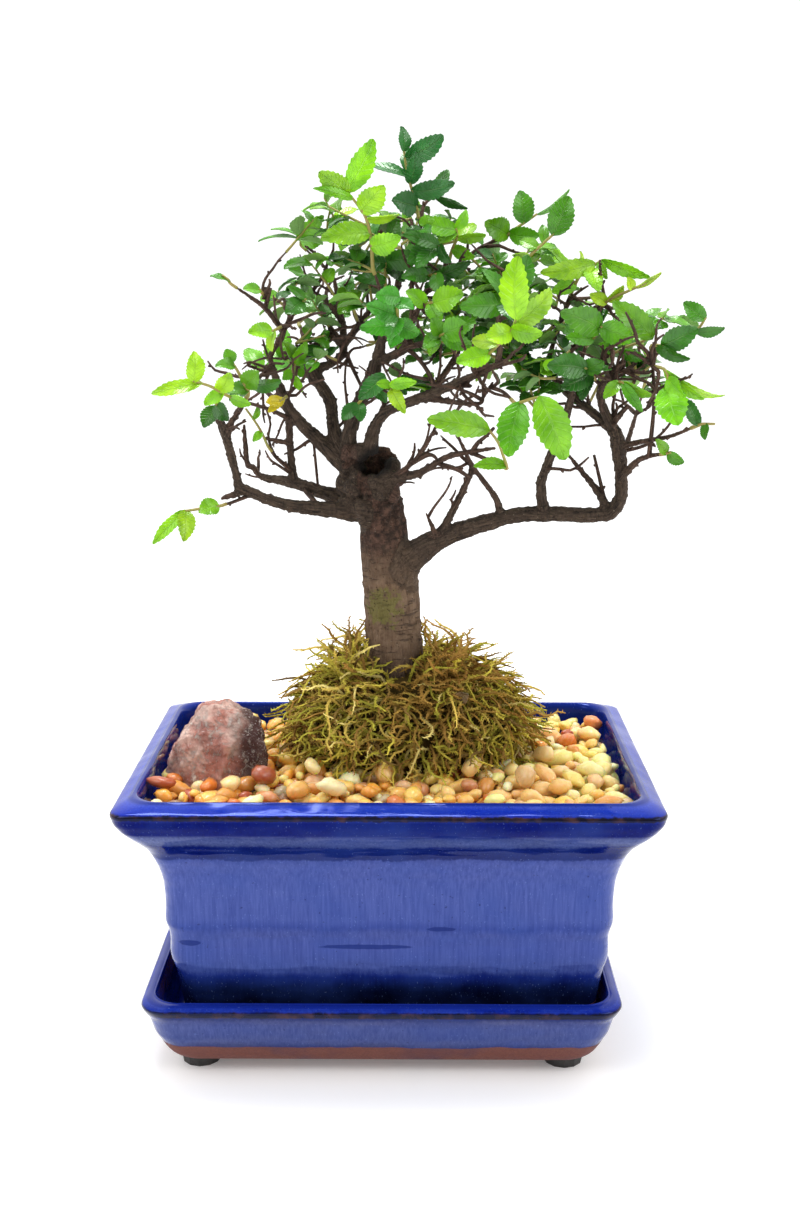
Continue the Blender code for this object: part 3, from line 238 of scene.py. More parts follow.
def mesh_from(name, bm, smooth=True):
    """The bmesh as a mesh, still in millimetres."""
    for face in bm.faces:
        face.smooth = smooth
    mesh = bpy.data.meshes.new(name)
    bm.to_mesh(mesh)
    bm.free()
    return mesh


def loft_mesh(name, rings):
    """The loft as a mesh of its own."""
    bm = bmesh.new()
    loft(bm, rings)
    return mesh_from(name, bm)


def merged(name, meshes):
    """One mesh from many, which are then removed."""
    bm = bmesh.new()
    for mesh in meshes:
        bm.from_mesh(mesh)
        bpy.data.meshes.remove(mesh)
    whole = bpy.data.meshes.new(name)
    bm.to_mesh(whole)
    bm.free()
    return whole


def finish_piece(name, mesh, materials, stands_for):
    """Scales the mesh to metres and lets it ride on the model in place of its solids."""
    mesh.transform(TO_FRAME)
    for material in materials:
        mesh.materials.append(material)
    piece = bpy.data.objects.new(name, mesh)
    scene.collection.objects.link(piece)
    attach(piece, "root")
    if stands_for:
        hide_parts(*stands_for)
    mesh.calc_loop_triangles()
    print(name, len(mesh.loop_triangles), "triangles")
    return piece

# %% [markdown]
# ## Helpers for finishes
# A finish is a small tree of shader nodes. These helpers add a node, link what is passed in and hand back its
# output. Patterns read Object coordinates times a thousand, so their sizes are in millimetres.

# %% Shader helpers
class Finish:
    """A material with its node tree and the millimetre coordinates that patterns read."""

    def __init__(self, name, **sockets):
        self.material = bpy.data.materials.new(name)
        self.material.use_nodes = True
        self.tree = self.material.node_tree
        self.shader = self.tree.nodes["Principled BSDF"]
        self.put(self.shader, sockets)
        place = self.tree.nodes.new("ShaderNodeTexCoord")
        self.mm = self.vectors("MULTIPLY", place.outputs["Object"], (1000.0,) * 3)

    def put(self, node, sockets):
        """Links or sets the inputs of a node."""
        for key, value in sockets.items():
            socket = node.inputs[key]
            if isinstance(value, bpy.types.NodeSocket):
                self.tree.links.new(value, socket)
            else:
                socket.default_value = value

    def add(self, kind, output, sockets, **settings):
        """A new node's output."""
        node = self.tree.nodes.new(kind)
        for key, value in settings.items():
            setattr(node, key, value)
        self.put(node, sockets)
        return node.outputs[output]

    def sum(self, operation, a, b=0.0, clamp=False):
        return self.add("ShaderNodeMath", "Value", {0: a, 1: b}, operation=operation, use_clamp=clamp)

    def vectors(self, operation, a, b=(0.0, 0.0, 0.0), output="Vector"):
        return self.add("ShaderNodeVectorMath", output, {0: a, 1: b}, operation=operation)

    def along(self, axis, vector=None):
        """One coordinate, in millimetres unless another vector is given."""
        return self.add("ShaderNodeSeparateXYZ", axis, {0: self.mm if vector is None else vector})

    def distance(self, across, down, depth):
        """How far the surface is from a point of the front view."""
        point = seen(across, down, depth) + Vector((SHIFT_X, 0.0, 0.0))
        return self.vectors("DISTANCE", self.mm, tuple(point), "Value")

    def noise(self, scale, detail=2.0, rough=0.5, move=(0.0, 0.0, 0.0), warp=0.0):
        """Noise with so many features to the millimetre along each axis."""
        steps = scale if isinstance(scale, tuple) else (scale,) * 3
        place = self.add("ShaderNodeMapping", "Vector", {"Vector": self.mm, "Scale": steps, "Location": move})
        return self.add("ShaderNodeTexNoise", "Fac", {
            "Vector": place, "Scale": 1.0, "Detail": detail, "Roughness": rough, "Distortion": warp})

    def shaken(self, value, reach, scale, detail=2.0, rough=0.5):
        """The value moved up and down by noise."""
        swing = self.sum("SUBTRACT", self.noise(scale, detail, rough), 0.5)
        return self.sum("ADD", value, self.sum("MULTIPLY", swing, reach))

    def ramp(self, value, stops, colours=False, top=1.0):
        """A colour ramp: stops are (value, colour or grey), in the value's own unit up to top."""
        node = self.tree.nodes.new("ShaderNodeValToRGB")
        node.color_ramp.elements.remove(node.color_ramp.elements[0])
        for i, (position, colour) in enumerate(stops):
            stop = node.color_ramp.elements[0] if i == 0 else node.color_ramp.elements.new(position / top)
            stop.position = position / top
            stop.color = (*colour, 1.0) if colours else (colour, colour, colour, 1.0)
        self.tree.links.new(value if top == 1.0 else self.sum("DIVIDE", value, top), node.inputs["Fac"])
        return node.outputs["Color"]

    def mix(self, share, a, b, blend="MIX"):
        """Two colours, sockets or numbers, mixed by a share."""
        a = (*a, 1.0) if isinstance(a, tuple) and len(a) == 3 else a
        b = (*b, 1.0) if isinstance(b, tuple) and len(b) == 3 else b
        return self.add("ShaderNodeMix", 2, {0: share, 6: a, 7: b}, data_type="RGBA", blend_type=blend)

    def attribute(self, name, output="Fac"):
        node = self.tree.nodes.new("ShaderNodeAttribute")
        node.attribute_name = name
        return node.outputs[output]

    def bump(self, height, distance, strength=1.0):
        bump = {"Height": height, "Distance": distance * MM, "Strength": strength}
        normal = self.add("ShaderNodeBump", "Normal", bump)
        self.put(self.shader, {"Normal": normal})

# %% [markdown]
# ## The glaze
# Cobalt glaze runs as it melts. It streaks down the walls, gathers dark where the wall turns, breaks thin and
# nearly black along the sharp edges, and stops above the foot, where bare clay shows. Some bands are painted
# light: painted shade and dark reflection under the rim and above the saucer, and a painted highlight along
# the rim's top. Height decides most of this, so the colour is a ramp along z, shaken by noise.

# %% Layers of the glaze
def cobalt(f, z, bands, inner, outside):
    """Banded colour with fine streaks, clouds and pale specks."""
    runs = f.sum("SUBTRACT", f.shaken(f.shaken(z, 4.6, 0.05, 4.0, 0.6), 1.3, (0.9, 0.9, 0.05)), z)
    runs = f.sum("MULTIPLY", runs, f.ramp(z, [(76, 1.0), (80, 0.12)], top=100.0))
    body = f.ramp(f.sum("ADD", z, runs), bands, True, top=100.0)
    streaks = f.ramp(f.noise((1.4, 1.4, 0.08), 5.0, 0.62), [(0.34, 0.0), (0.70, 1.0)])
    body = f.mix(0.85, body, f.mix(streaks, (0.66, 0.70, 0.80), (1.36, 1.32, 1.16)), "MULTIPLY")
    clouds = f.ramp(f.noise(0.05, 3.0, 0.55), [(0.42, 0.0), (0.72, 0.35)])
    body = f.mix(outside, inner, f.mix(clouds, body, (0.024, 0.055, 0.25)))
    return f.mix(f.ramp(f.noise((2.2, 2.2, 1.2), 1.0), [(0.68, 0.0), (0.78, 0.3)]), body, (0.18, 0.26, 0.55))


def dark_mark(f, body, place, half_x, half_z):
    """A flat dark patch on the front."""
    off = f.vectors("SUBTRACT", f.mm, (place.x + SHIFT_X, 0.0, place.z))
    off = f.vectors("LENGTH", f.vectors("MULTIPLY", off, (1.0 / half_x, 0.0, 1.0 / half_z)), output="Value")
    off = f.sum("ADD", off, f.sum("MULTIPLY", f.noise(0.35, 3.0), 0.45))
    front = f.ramp(f.sum("DIVIDE", f.along("Y"), -100.0), [(0.2, 0.0), (0.3, 0.85)])
    return f.mix(f.sum("MULTIPLY", f.ramp(off, [(0.9, 1.0), (1.0, 0.0)]), front), body, (0.004, 0.012, 0.12))


def worn_edge(f, body, z, edge, outside):
    """The sharp edge, where the glaze breaks to black and brown."""
    edge_z, edge_half = edge
    off = f.sum("ABSOLUTE", f.sum("SUBTRACT", f.shaken(z, 1.3, 0.4, 4.0, 0.7), edge_z))
    thin = f.sum("MULTIPLY", f.ramp(f.sum("DIVIDE", off, edge_half), [(0.6, 1.0), (1.0, 0.0)]), outside)
    patches = f.ramp(f.noise(0.2, 3.0), [(0.5, 0.0), (0.75, 1.0)])
    return f.mix(thin, body, f.mix(patches, (0.007, 0.005, 0.008), (0.065, 0.028, 0.018)))


def bare_clay(f, body, z, clay_z, right_lower, outside, grains):
    """Terracotta below the glaze's ragged end, which may run lower on the right."""
    right = f.ramp(f.along("X"), [(0, 0.0), (30, 1.0)], top=100.0)
    low = f.sum("SUBTRACT", f.shaken(z, 3.5, (0.05, 0.05, 0.1), 4.0), f.sum("MULTIPLY", right, right_lower))
    clay = f.sum("MULTIPLY", f.ramp(f.sum("DIVIDE", low, 2.0 * clay_z), [(0.49, 1.0), (0.5, 0.0)]), outside)
    bare = f.mix(grains, (0.07, 0.022, 0.012), (0.27, 0.095, 0.045))
    sooty = f.ramp(f.noise(0.08, 3.0), [(0.5, 0.0), (0.72, 0.45)])
    return clay, f.mix(clay, body, f.mix(sooty, bare, (0.05, 0.03, 0.05)))

# %% [markdown]
# ## Two glazed finishes
# Pot and saucer are dipped in the same glaze, so one function lays the layers and only the bands differ. Each
# band is a height with its colour. The pot has three dark marks in front.

# %% Glaze finish
def glaze(name, edge, bands, inner, clay_z, marks):
    """edge is the sharp edge's height and half width, clay_z where the glaze ends."""
    f = Finish(name, **{"Specular Tint": (0.22, 0.34, 1.0, 1.0)})
    z = f.along("Z")
    outside = f.attribute("outside")
    grains = f.noise(1.6, 4.0, 0.7)
    body = cobalt(f, z, bands, inner, outside)
    for place, half_x, half_z in marks:
        body = dark_mark(f, body, place, half_x, half_z)
    pits = f.ramp(f.noise(0.8, 2.0, 0.5, (3, 8, 1)), [(0.70, 0.0), (0.75, 0.6)])
    body = worn_edge(f, f.mix(pits, body, (0.01, 0.01, 0.06)), z, edge, outside)
    clay, body = bare_clay(f, body, z, clay_z, 2.4 if marks else 0.0, outside, grains)
    rough = f.sum("ADD", f.sum("MULTIPLY", clay, 0.6), f.sum("MULTIPLY", f.noise(0.3, 2.0), 0.16))
    gloss = f.ramp(z, [(79.5, 0.45), (80.0, 0.10), (84.5, 0.10), (85.5, 0.45)], top=100.0)
    f.put(f.shader, {"Base Color": body, "Roughness": rough, "Specular IOR Level": gloss})
    grit = f.sum("MULTIPLY", f.sum("MULTIPLY", grains, clay), 0.12)
    f.bump(f.sum("ADD", f.noise((0.035, 0.035, 0.12), 2.0), grit), 1.3)
    return f.material


POT_BANDS = [
    # Painted shadow: near-black bands from 22 to 31, between pot and saucer, with their dark reflection.
    (22, (0.002, 0.003, 0.014)), (27, (0.003, 0.007, 0.045)), (31, (0.006, 0.016, 0.15)),
    (33, (0.04, 0.062, 0.235)), (40, (0.05, 0.07, 0.262)), (45, (0.048, 0.068, 0.255)),
    (47, (0.03, 0.048, 0.225)), (49.5, (0.052, 0.074, 0.268)), (58, (0.056, 0.078, 0.276)),
    # Painted light: from 70 to 74.8 the glaze gathered in the turn, deepened as a painted dark reflection;
    # from 79.8 to 84.6 painted shade and dark reflection under the rim.
    (68, (0.054, 0.074, 0.268)), (69.6, (0.036, 0.054, 0.23)), (70, (0.002, 0.006, 0.085)),
    (74.8, (0.002, 0.007, 0.095)), (75.6, (0.04, 0.056, 0.17)), (77, (0.06, 0.08, 0.215)),
    (78.8, (0.045, 0.062, 0.19)), (79.8, (0.001, 0.005, 0.11)), (84.6, (0.001, 0.004, 0.105)),
    # Painted highlight: the paler band at 88.7 along the rim's top.
    (86.2, (0.004, 0.014, 0.28)), (87.6, (0.006, 0.024, 0.35)), (88.7, (0.04, 0.07, 0.42)),
]
SAUCER_BANDS = [
    (10.6, (0.02, 0.03, 0.135)), (12.4, (0.05, 0.068, 0.215)), (18, (0.06, 0.078, 0.235)),
    (20.4, (0.04, 0.05, 0.17)), (21.4, (0.01, 0.016, 0.1)), (23.4, (0.003, 0.008, 0.12)),
    (24, (0.003, 0.016, 0.27)), (25, (0.012, 0.034, 0.36)),
]
POT_MARKS = [
    (seen(440, 929, -43), 6.0, 1.0), (seen(189, 944, -43), 4.4, 1.2), (seen(366, 948, -43), 19.0, 1.0)]
pot_glaze = glaze("cobalt_pot_glaze", (85.7, 0.9), POT_BANDS, (0.006, 0.018, 0.2), 18.5, POT_MARKS)
saucer_glaze = glaze("cobalt_saucer_glaze", (22.9, 1.2), SAUCER_BANDS, (0.006, 0.020, 0.24), 10.6, [])

# %% [markdown]
# ## The pot
# The pot was pressed in a mould: a rounded rectangle whose wall swells out to a flared rim. The loft goes up
# the outside, over the rim and down the inside. A value on each point tells the finish which side of the wall
# it is on.

# %% Pot and saucer
RIM_X = 78.8
RIM_Y = 55.7
POT_OUTSIDE = [
    (12.8, 17.6, 7), (14.2, 16.9, 7), (29, 14.9, 7), (36, 13.4, 6.8), (42.5, 13.4, 6.6), (47.9, 12.3, 6.5),
    (53.4, 12.5, 6.5), (61.2, 11.9, 6.5), (67.5, 10.2, 6.4), (72.5, 7.9, 6.2), (78, 3.4, 5.8),
    (82, 0.9, 5.4), (84.6, 0.12, 5.1), (85.5, 0.0, 5), (86.2, 0.25, 5), (86.9, 1.2, 5),
]
POT_INSIDE = [
    (88.4, 4.6, 7), (88.7, 5.4, 8), (88.3, 6.2, 9), (86.5, 6.7, 9.5), (80, 7.2, 10), (75, 10.4, 9),
    (66, 16, 8), (20, 21.6, 8), (18, 24, 8),
]
POT_FOOT = (7.5, 9.8)
SAUCER_MIDDLE = (-2.3, -2.2)
SAUCER_X = 71.3
SAUCER_Y = 48.4
SAUCER_OUTSIDE = [
    (4.0, 9.2, 8), (4.6, 8.2, 8), (6.2, 6.7, 8), (9.1, 5.2, 8), (11.7, 4.1, 8), (14.2, 3.1, 8),
    (18.7, 2.0, 8), (21.2, 0.8, 8), (22.7, 0.15, 8), (23.5, 0.0, 8), (24.2, 0.4, 8), (24.6, 1.2, 8),
]
SAUCER_INSIDE = [(25.0, 2.2, 8), (24.9, 3.2, 8), (24.0, 4.0, 8), (12, 6.6, 8), (10, 7.6, 8), (9.5, 9.4, 8)]


def rounded_ring(half_x, half_y, corner, z, middle, arc=9, long_side=40, short_side=28):
    """A rounded rectangle with evenly cut sides, anticlockwise from the right."""
    points = []
    for quarter, (sx, sy) in enumerate(((1, 1), (-1, 1), (-1, -1), (1, -1))):
        for step in range(arc):
            turn = math.radians(90 * quarter + 90 * step / (arc - 1))
            x = sx * (half_x - corner) + corner * math.cos(turn)
            y = sy * (half_y - corner) + corner * math.sin(turn)
            points.append(Vector((middle[0] + x, middle[1] + y, z)))
        nx, ny = ((-1, 1), (-1, -1), (1, -1), (1, 1))[quarter]
        turn = math.radians(90 * quarter + 90)
        start = points[-1]
        end_x = nx * (half_x - corner) + corner * math.cos(turn)
        end_y = ny * (half_y - corner) + corner * math.sin(turn)
        end = Vector((middle[0] + end_x, middle[1] + end_y, z))
        cuts = long_side if quarter % 2 == 0 else short_side
        points += [start.lerp(end, k / cuts) for k in range(1, cuts)]
    return points


def walled(name, outside, inside, half_x, half_y, middle):
    """The loft of a vessel, with its outside marked."""
    keys = smooth_line(outside + inside, 4)
    rings = [rounded_ring(half_x - inset, half_y - inset, corner, z, middle) for z, inset, corner in keys]
    mesh = loft_mesh(name, rings)
    first_inside = 4 * (len(outside) - 2)
    turn = next(i for i, key in enumerate(keys) if key[0] >= inside[0][0] - 0.3 and i > first_inside)
    outer = turn * len(rings[0])
    marks = [1.0] * outer + [0.0] * (len(mesh.vertices) - outer)
    mesh.attributes.new("outside", "FLOAT", "POINT").data.foreach_set("value", marks)
    return mesh


pot_parts = [walled("pot", POT_OUTSIDE, POT_INSIDE, RIM_X, RIM_Y, (0.0, 0.0))]
foot_radius, foot_z = POT_FOOT
foot_x = RIM_X - POT_OUTSIDE[0][1] - foot_radius - 3.0
foot_y = RIM_Y - POT_OUTSIDE[0][1] - foot_radius - 3.0
for sx, sy in ((-1, -1), (1, -1), (-1, 1), (1, 1)):
    middle = (sx * foot_x, sy * foot_y)
    profile = ((foot_z, foot_radius - 1.0), (foot_z + 0.6, foot_radius - 0.4), (13.4, foot_radius))
    foot = loft_mesh("foot", [oval_ring(r, r, z, 24, middle) for z, r in profile])
    foot.attributes.new("outside", "FLOAT", "POINT")
    pot_parts.append(foot)
finish_piece("glazed_pot", merged("glazed_pot", pot_parts), [pot_glaze], ["pot"])
dish = walled("dish", SAUCER_OUTSIDE, SAUCER_INSIDE, SAUCER_X, SAUCER_Y, SAUCER_MIDDLE)
finish_piece("glazed_saucer", dish, [saucer_glaze], ["saucer"])

# %% [markdown]
# ## Rubber feet and soil
# Four small rubber pads carry the saucer, and soil fills the pot below the pebbles. Their plain solids
# already have the right shape, so they stay and only get a finish.

# %% Finishes for pads and soil
rubber = Finish("foot_rubber_worn", Roughness=0.55)
scuffed = rubber.mix(rubber.noise(0.8, 4.0), (0.008, 0.008, 0.009), (0.05, 0.048, 0.045))
rubber.put(rubber.shader, {"Base Color": scuffed})
rubber.bump(rubber.noise(3.0, 2.0), 0.1)
earth = Finish("potting_soil_crumbs", Roughness=0.95)
crumbly = earth.mix(earth.noise(0.9, 6.0, 0.7), (0.008, 0.004, 0.002), (0.085, 0.045, 0.022))
earth.put(earth.shader, {"Base Color": crumbly})
earth.bump(earth.noise(0.7, 6.0, 0.7), 1.2)
kept = {name: rubber for name in ("pad_front_left", "pad_front_right", "pad_back_left", "pad_back_right")}
kept["soil"] = earth
for name, finish in kept.items():
    for material_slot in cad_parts[name].material_slots:
        material_slot.material = finish.material
print("pads and soil finished")

# %% [markdown]
# ## Where pebbles may lie
# Washed pea gravel covers the soil up to the rim, round the rock and the moss. Most colours are drawn by
# chance, and the stones that stand out in the front view are listed one by one.

# %% Room for pebbles
SOIL_TOP = 76.0
GRAVEL_TOP = 79.0
ROCK_CENTRE = (-53.5, -11.0)
ROCK_SIZE = (15.5, 11.5, 15.6)
MOSS_CENTRE = (6.0, 12.0)
MOSS_HOLE = (34.0, 25.0)
STONE_COLOURS = [
    ((0.92, 0.52, 0.109), 10), ((0.86, 0.38, 0.041), 8), ((0.95, 0.66, 0.226), 9), ((0.71, 0.32, 0.055), 5),
    ((0.66, 0.19, 0.021), 3), ((0.38, 0.06, 0.013), 2), ((0.61, 0.27, 0.116), 2), ((0.38, 0.3, 0.164), 2),
    ((0.95, 0.81, 0.451), 5), ((0.21, 0.09, 0.034), 1), ((0.79, 0.47, 0.233), 2), ((0.94, 0.58, 0.15), 6),
]
KNOWN_STONES = [
    (470, 777, 4.5, (0.84, 0.58, 0.233)), (455, 790, 3.9, (0.79, 0.38, 0.068)),
    (410, 794, 4.6, (0.73, 0.39, 0.089)), (364, 793, 4.6, (0.77, 0.45, 0.116)),
    (265, 785, 3.8, (0.32, 0.06, 0.017)), (343, 779, 3.7, (0.38, 0.06, 0.021)),
    (324, 768, 3.8, (0.51, 0.18, 0.03)), (161, 791, 3.2, (0.48, 0.09, 0.021)),
    (185, 797, 3.6, (0.56, 0.24, 0.048)), (519, 766, 4.6, (0.74, 0.6, 0.314)),
    (489, 772, 3.9, (0.56, 0.27, 0.13)), (312, 775, 3.4, (0.86, 0.67, 0.314)),
    (330, 795, 4.0, (0.87, 0.72, 0.41)), (525, 786, 3.8, (0.35, 0.15, 0.075)),
    (588, 739, 4.0, (0.77, 0.44, 0.116)), (600, 724, 3.2, (0.59, 0.2, 0.055)),
    (523, 745, 3.8, (0.64, 0.19, 0.024)), (545, 762, 3.8, (0.86, 0.58, 0.233)),
    (560, 790, 4.2, (0.84, 0.49, 0.123)), (590, 775, 3.6, (0.89, 0.66, 0.274)),
    (232, 790, 3.6, (0.86, 0.64, 0.287)), (297, 796, 3.9, (0.81, 0.47, 0.123)),
    (436, 768, 3.5, (0.66, 0.41, 0.109)), (385, 779, 3.6, (0.74, 0.47, 0.15)),
]


def inside_inset(z):
    """How far the pot's inner wall is set in from the rim's outside at a height."""
    wall = [(88.7, 5.6), (86.5, 6.6), (80, 7.2), (75, 10.4), (66, 16), (18, 22)]
    for (high, near), (low, far) in zip(wall, wall[1:]):
        if z >= low:
            return near + (far - near) * (high - z) / (high - low)
    return wall[-1][1]


WALL_ROOM = 0.3 + inside_inset(81.0)
INNER_CORNER = 6


def outside_oval(x, y, centre, half, spare):
    """Whether a place is off the oval that the moss or the rock stands on."""
    return math.hypot((x - centre[0]) / (half[0] + spare), (y - centre[1]) / (half[1] + spare)) > 1


def is_free(x, y, size):
    """Inside the wall with its round corners, off the rock and not under the moss."""
    across = RIM_X - WALL_ROOM - size - abs(x)
    along = RIM_Y - WALL_ROOM - size - abs(y)
    in_corner = across < INNER_CORNER and along < INNER_CORNER
    if min(across, along) < 0:
        return False
    if in_corner and math.hypot(INNER_CORNER - across, INNER_CORNER - along) > INNER_CORNER:
        return False
    off_moss = outside_oval(x, y, MOSS_CENTRE, MOSS_HOLE, -2)
    return off_moss and outside_oval(x, y, ROCK_CENTRE, ROCK_SIZE, size - 4)

# %% [markdown]
# ## Pouring the stones
# Real stones are poured, and a physics run could do that. Here each stone is dropped where it can lie lowest
# among a few tries, which is quick and always the same.

# %% Pouring
FLATNESS = 0.74
HEAP_TOP = 84.6
TOP_STONES = 87.6


def rest_height(lying, x, y, size):
    """How high a stone dropped here comes to lie on the bed or on other stones."""
    away = np.hypot(lying[:, 0] - x, lying[:, 1] - y)
    reach = (lying[:, 3] + size) * 0.86
    near = away < reach
    rests = lying[near, 2] + FLATNESS * np.sqrt(reach[near] ** 2 - away[near] ** 2)
    return max(SOIL_TOP + 0.3 + size * FLATNESS, rests.max() if near.any() else 0.0)


def drops(count, tries):
    """(places to try, size, colour, greatest height) of every stone in turn, the known ones last."""
    pour = random.Random(17)
    shades, weights = zip(*STONE_COLOURS)
    for _ in range(count):
        size = pour.choice((2.0, 2.4, 2.7, 3.0, 3.4, 3.9))
        spots = []
        while len(spots) < tries:
            spot = (pour.uniform(-72, 72), pour.uniform(-49, 49))
            if is_free(*spot, size):
                spots.append(spot)
        yield spots, size, pour.choices(shades, weights)[0], HEAP_TOP
    for across, down, size, colour in KNOWN_STONES:
        ray = seen(across, down, -40.0) - EYE
        spot = EYE + ray * ((84.5 - EYE.z) / ray.z)
        limit_x = RIM_X - WALL_ROOM - size
        limit_y = RIM_Y - WALL_ROOM - size
        held = (max(-limit_x, min(limit_x, spot.x)), max(-limit_y, min(limit_y, spot.y)))
        yield [held], size, colour, TOP_STONES


def pour_stones(count, tries):
    """(x, y, z, size, colour) of stones dropped one by one."""
    lying = np.empty((0, 4))
    found = []
    for spots, size, colour, highest in drops(count, tries):
        x, y, z = min(((x, y, rest_height(lying, x, y, size)) for x, y in spots), key=lambda spot: spot[2])
        if z <= highest:
            lying = np.vstack([lying, (x, y, z, size)])
            found.append((x, y, z, size, colour))
    return found


stones = pour_stones(1250, 9)
print("stones", len(stones))

# %% [markdown]
# ## The shape of a pebble
# Round balls would look like beads. Nine plain balls are pushed out of shape by smooth noise and flattened on
# up to three sides, and every stone is a copy of one of them, stretched, leaned and turned.

# %% Pebbles
def stone_shapes():
    """A few low balls pushed in and out by smooth noise, some with a flattened side."""
    shapes = []
    for k in range(9):
        bm = bmesh.new()
        bmesh.ops.create_icosphere(bm, subdivisions=2, radius=1.0)
        flats = []
        for n in range(3):
            way = Vector(noise.noise(p) for p in ((k + 0.5, n, 1), (k, n, 5.5), (k, n + 0.5, 3)))
            flats.append(way.normalized())
        for vert in bm.verts:
            lump = noise.noise(vert.co * 0.9 + Vector((7.3 * k, 0, 0)))
            vert.co *= 1.0 + 0.5 * lump
            for flat_way in flats:
                beyond = vert.co.dot(flat_way) - (0.56 + 0.07 * (k % 4))
                if beyond > 0:
                    vert.co -= flat_way * beyond * 0.85
        bmesh.ops.smooth_vert(
            bm, verts=bm.verts[:], factor=0.25, use_axis_x=True, use_axis_y=True, use_axis_z=True)
        shapes.append(mesh_from("stone", bm))
    return shapes


def tinted(mesh, name, colour):
    """Gives every point of the mesh this colour."""
    layer = mesh.color_attributes.get(name) or mesh.color_attributes.new(name, "FLOAT_COLOR", "POINT")
    layer.data.foreach_set("color", [*colour, 1.0] * len(mesh.vertices))


shapes = stone_shapes()
turn = random.Random(23)
stone_meshes = []
for k, (x, y, z, size, colour) in enumerate(stones):
    copy = turn.choice(shapes).copy()
    form = Matrix.Diagonal((
        size * turn.uniform(1.1, 1.5), size * turn.uniform(0.74, 0.96), size * turn.uniform(0.66, 0.84), 1.0))
    lean = Matrix.Rotation(turn.uniform(-0.4, 0.4), 4, "X") @ Matrix.Rotation(turn.uniform(-0.4, 0.4), 4, "Y")
    spin = Matrix.Rotation(turn.uniform(0, 6.28), 4, "Z")
    copy.transform(Matrix.Translation((x, y, z)) @ spin @ lean @ form)
    on_right = x > 30
    shade = turn.uniform(0.9, 1.2) * (1.12 if on_right else 1.0)
    colour = Vector(colour).lerp(Vector((1.0, 0.78, 0.34)), 0.45 if on_right and k % 3 else 0.0)
    tinted(copy, "stone_colour", [min(0.95, c * shade) for c in colour])
    stone_meshes.append(copy)
for shape in shapes:
    bpy.data.meshes.remove(shape)

# %% [markdown]
# ## The stones' finish
# Worn quartz pebbles are smooth and let a little light in. Each takes its own colour from its points, with
# cloudy veins, rusty spots and a thin wet-looking coat.

# %% Pebble finish
pebble = Finish("pea_gravel_washed", **{
    "Coat Weight": 0.3, "Coat Roughness": 0.1, "Subsurface Weight": 0.45,
    "Subsurface Radius": (0.003, 0.0014, 0.0004), "Subsurface Scale": 1.0})
own = pebble.attribute("stone_colour", "Color")
veins = pebble.ramp(pebble.noise(0.35, 5.0, 0.65, warp=0.8), [(0.35, 0.0), (0.65, 1.0)])
darker = pebble.mix(0.5, own, (0.75, 0.50, 0.24), "MULTIPLY")
lighter = pebble.mix(0.2, own, (0.98, 0.86, 0.58))
stone_colour = pebble.mix(0.45, own, pebble.mix(veins, darker, lighter))
spots = pebble.ramp(pebble.noise(2.5, 3.0), [(0.64, 0.0), (0.75, 0.5)])
stone_colour = pebble.mix(spots, stone_colour, (0.30, 0.12, 0.03))
wear = pebble.sum("ADD", pebble.sum("MULTIPLY", pebble.noise(0.6, 3.0), 0.3), 0.16)
pebble.put(pebble.shader, {"Base Color": stone_colour, "Roughness": wear})
pebble.bump(pebble.noise(1.4, 4.0), 0.1)
finish_piece("pebbles", merged("pebbles", stone_meshes), [pebble.material], ["gravel"])

# %% [markdown]
# ## The rock
# One lump of rough quartz stands at the left. Broken stone has flat faces with crisp but crumbled edges: a
# finely cut ball is pushed back to the nearest of some planes, then roughened by noise.

# %% Rock
# (direction, distance) of each flat face
ROCK_FACES = [
    ((-0.79, 0.0, 0.61), 0.74), ((-0.93, 0.0, 0.38), 0.82), ((-0.09, 0.1, 0.99), 0.9),
    ((0.34, 0.0, 0.94), 0.87), ((1.0, 0.0, 0.06), 0.95), ((-0.38, -0.9, 0.16), 0.74),
    ((0.62, -0.78, 0.02), 0.84), ((0.12, -0.72, 0.68), 0.8), ((-0.45, -0.62, 0.64), 0.8),
    ((-0.8, 0.55, 0.15), 0.85), ((0.1, 1.0, 0.2), 0.85), ((0.8, 0.55, 0.2), 0.88),
    ((0.66, -0.45, 0.6), 0.88), ((-0.75, -0.62, -0.1), 0.82),
]


def rock_mesh():
    """The broken lump, flat where it sinks into the pebbles."""
    rough = random.Random(9)
    planes = [(Vector(way).normalized(), far) for way, far in ROCK_FACES]
    for _ in range(8):
        way = Vector((rough.gauss(0, 1), rough.gauss(0, 1), rough.gauss(0, 0.8))).normalized()
        planes.append((way, rough.uniform(0.88, 1.0)))
    bm = bmesh.new()
    bmesh.ops.create_icosphere(bm, subdivisions=6, radius=1.0)
    base = GRAVEL_TOP + 0.3
    for vert in bm.verts:
        way = vert.co.normalized()
        reach = min([1.25] + [far / max(way.dot(n), 0.05) for n, far in planes])
        point = way * reach
        point += way * 0.05 * (noise.noise(way * 2.6, noise_basis="VORONOI_F2F1") - 0.3)
        point += way * 0.022 * noise.fractal(way * 5.0, 0.8, 2.2, 5, noise_basis="PERLIN_ORIGINAL")
        point += way * 0.018 * (noise.ridged_multi_fractal(way * 4.0, 0.9, 2.1, 4, 1.0, 2.0) - 1.0)
        vert.co = Vector((
            ROCK_CENTRE[0] + point.x * ROCK_SIZE[0] * 1.04, ROCK_CENTRE[1] + point.y * ROCK_SIZE[1],
            base + (0.76 + 1.08 * point.z) * ROCK_SIZE[2]))
    cut = bmesh.ops.bisect_plane(
        bm, geom=bm.verts[:] + bm.edges[:] + bm.faces[:],
        plane_co=(0, 0, base - 1.5), plane_no=(0, 0, -1), clear_outer=True)
    edges = [item for item in cut["geom_cut"] if isinstance(item, bmesh.types.BMEdge)]
    bmesh.ops.contextual_create(bm, geom=edges)
    bmesh.ops.recalc_face_normals(bm, faces=bm.faces[:])
    return mesh_from("rock", bm, smooth=False)
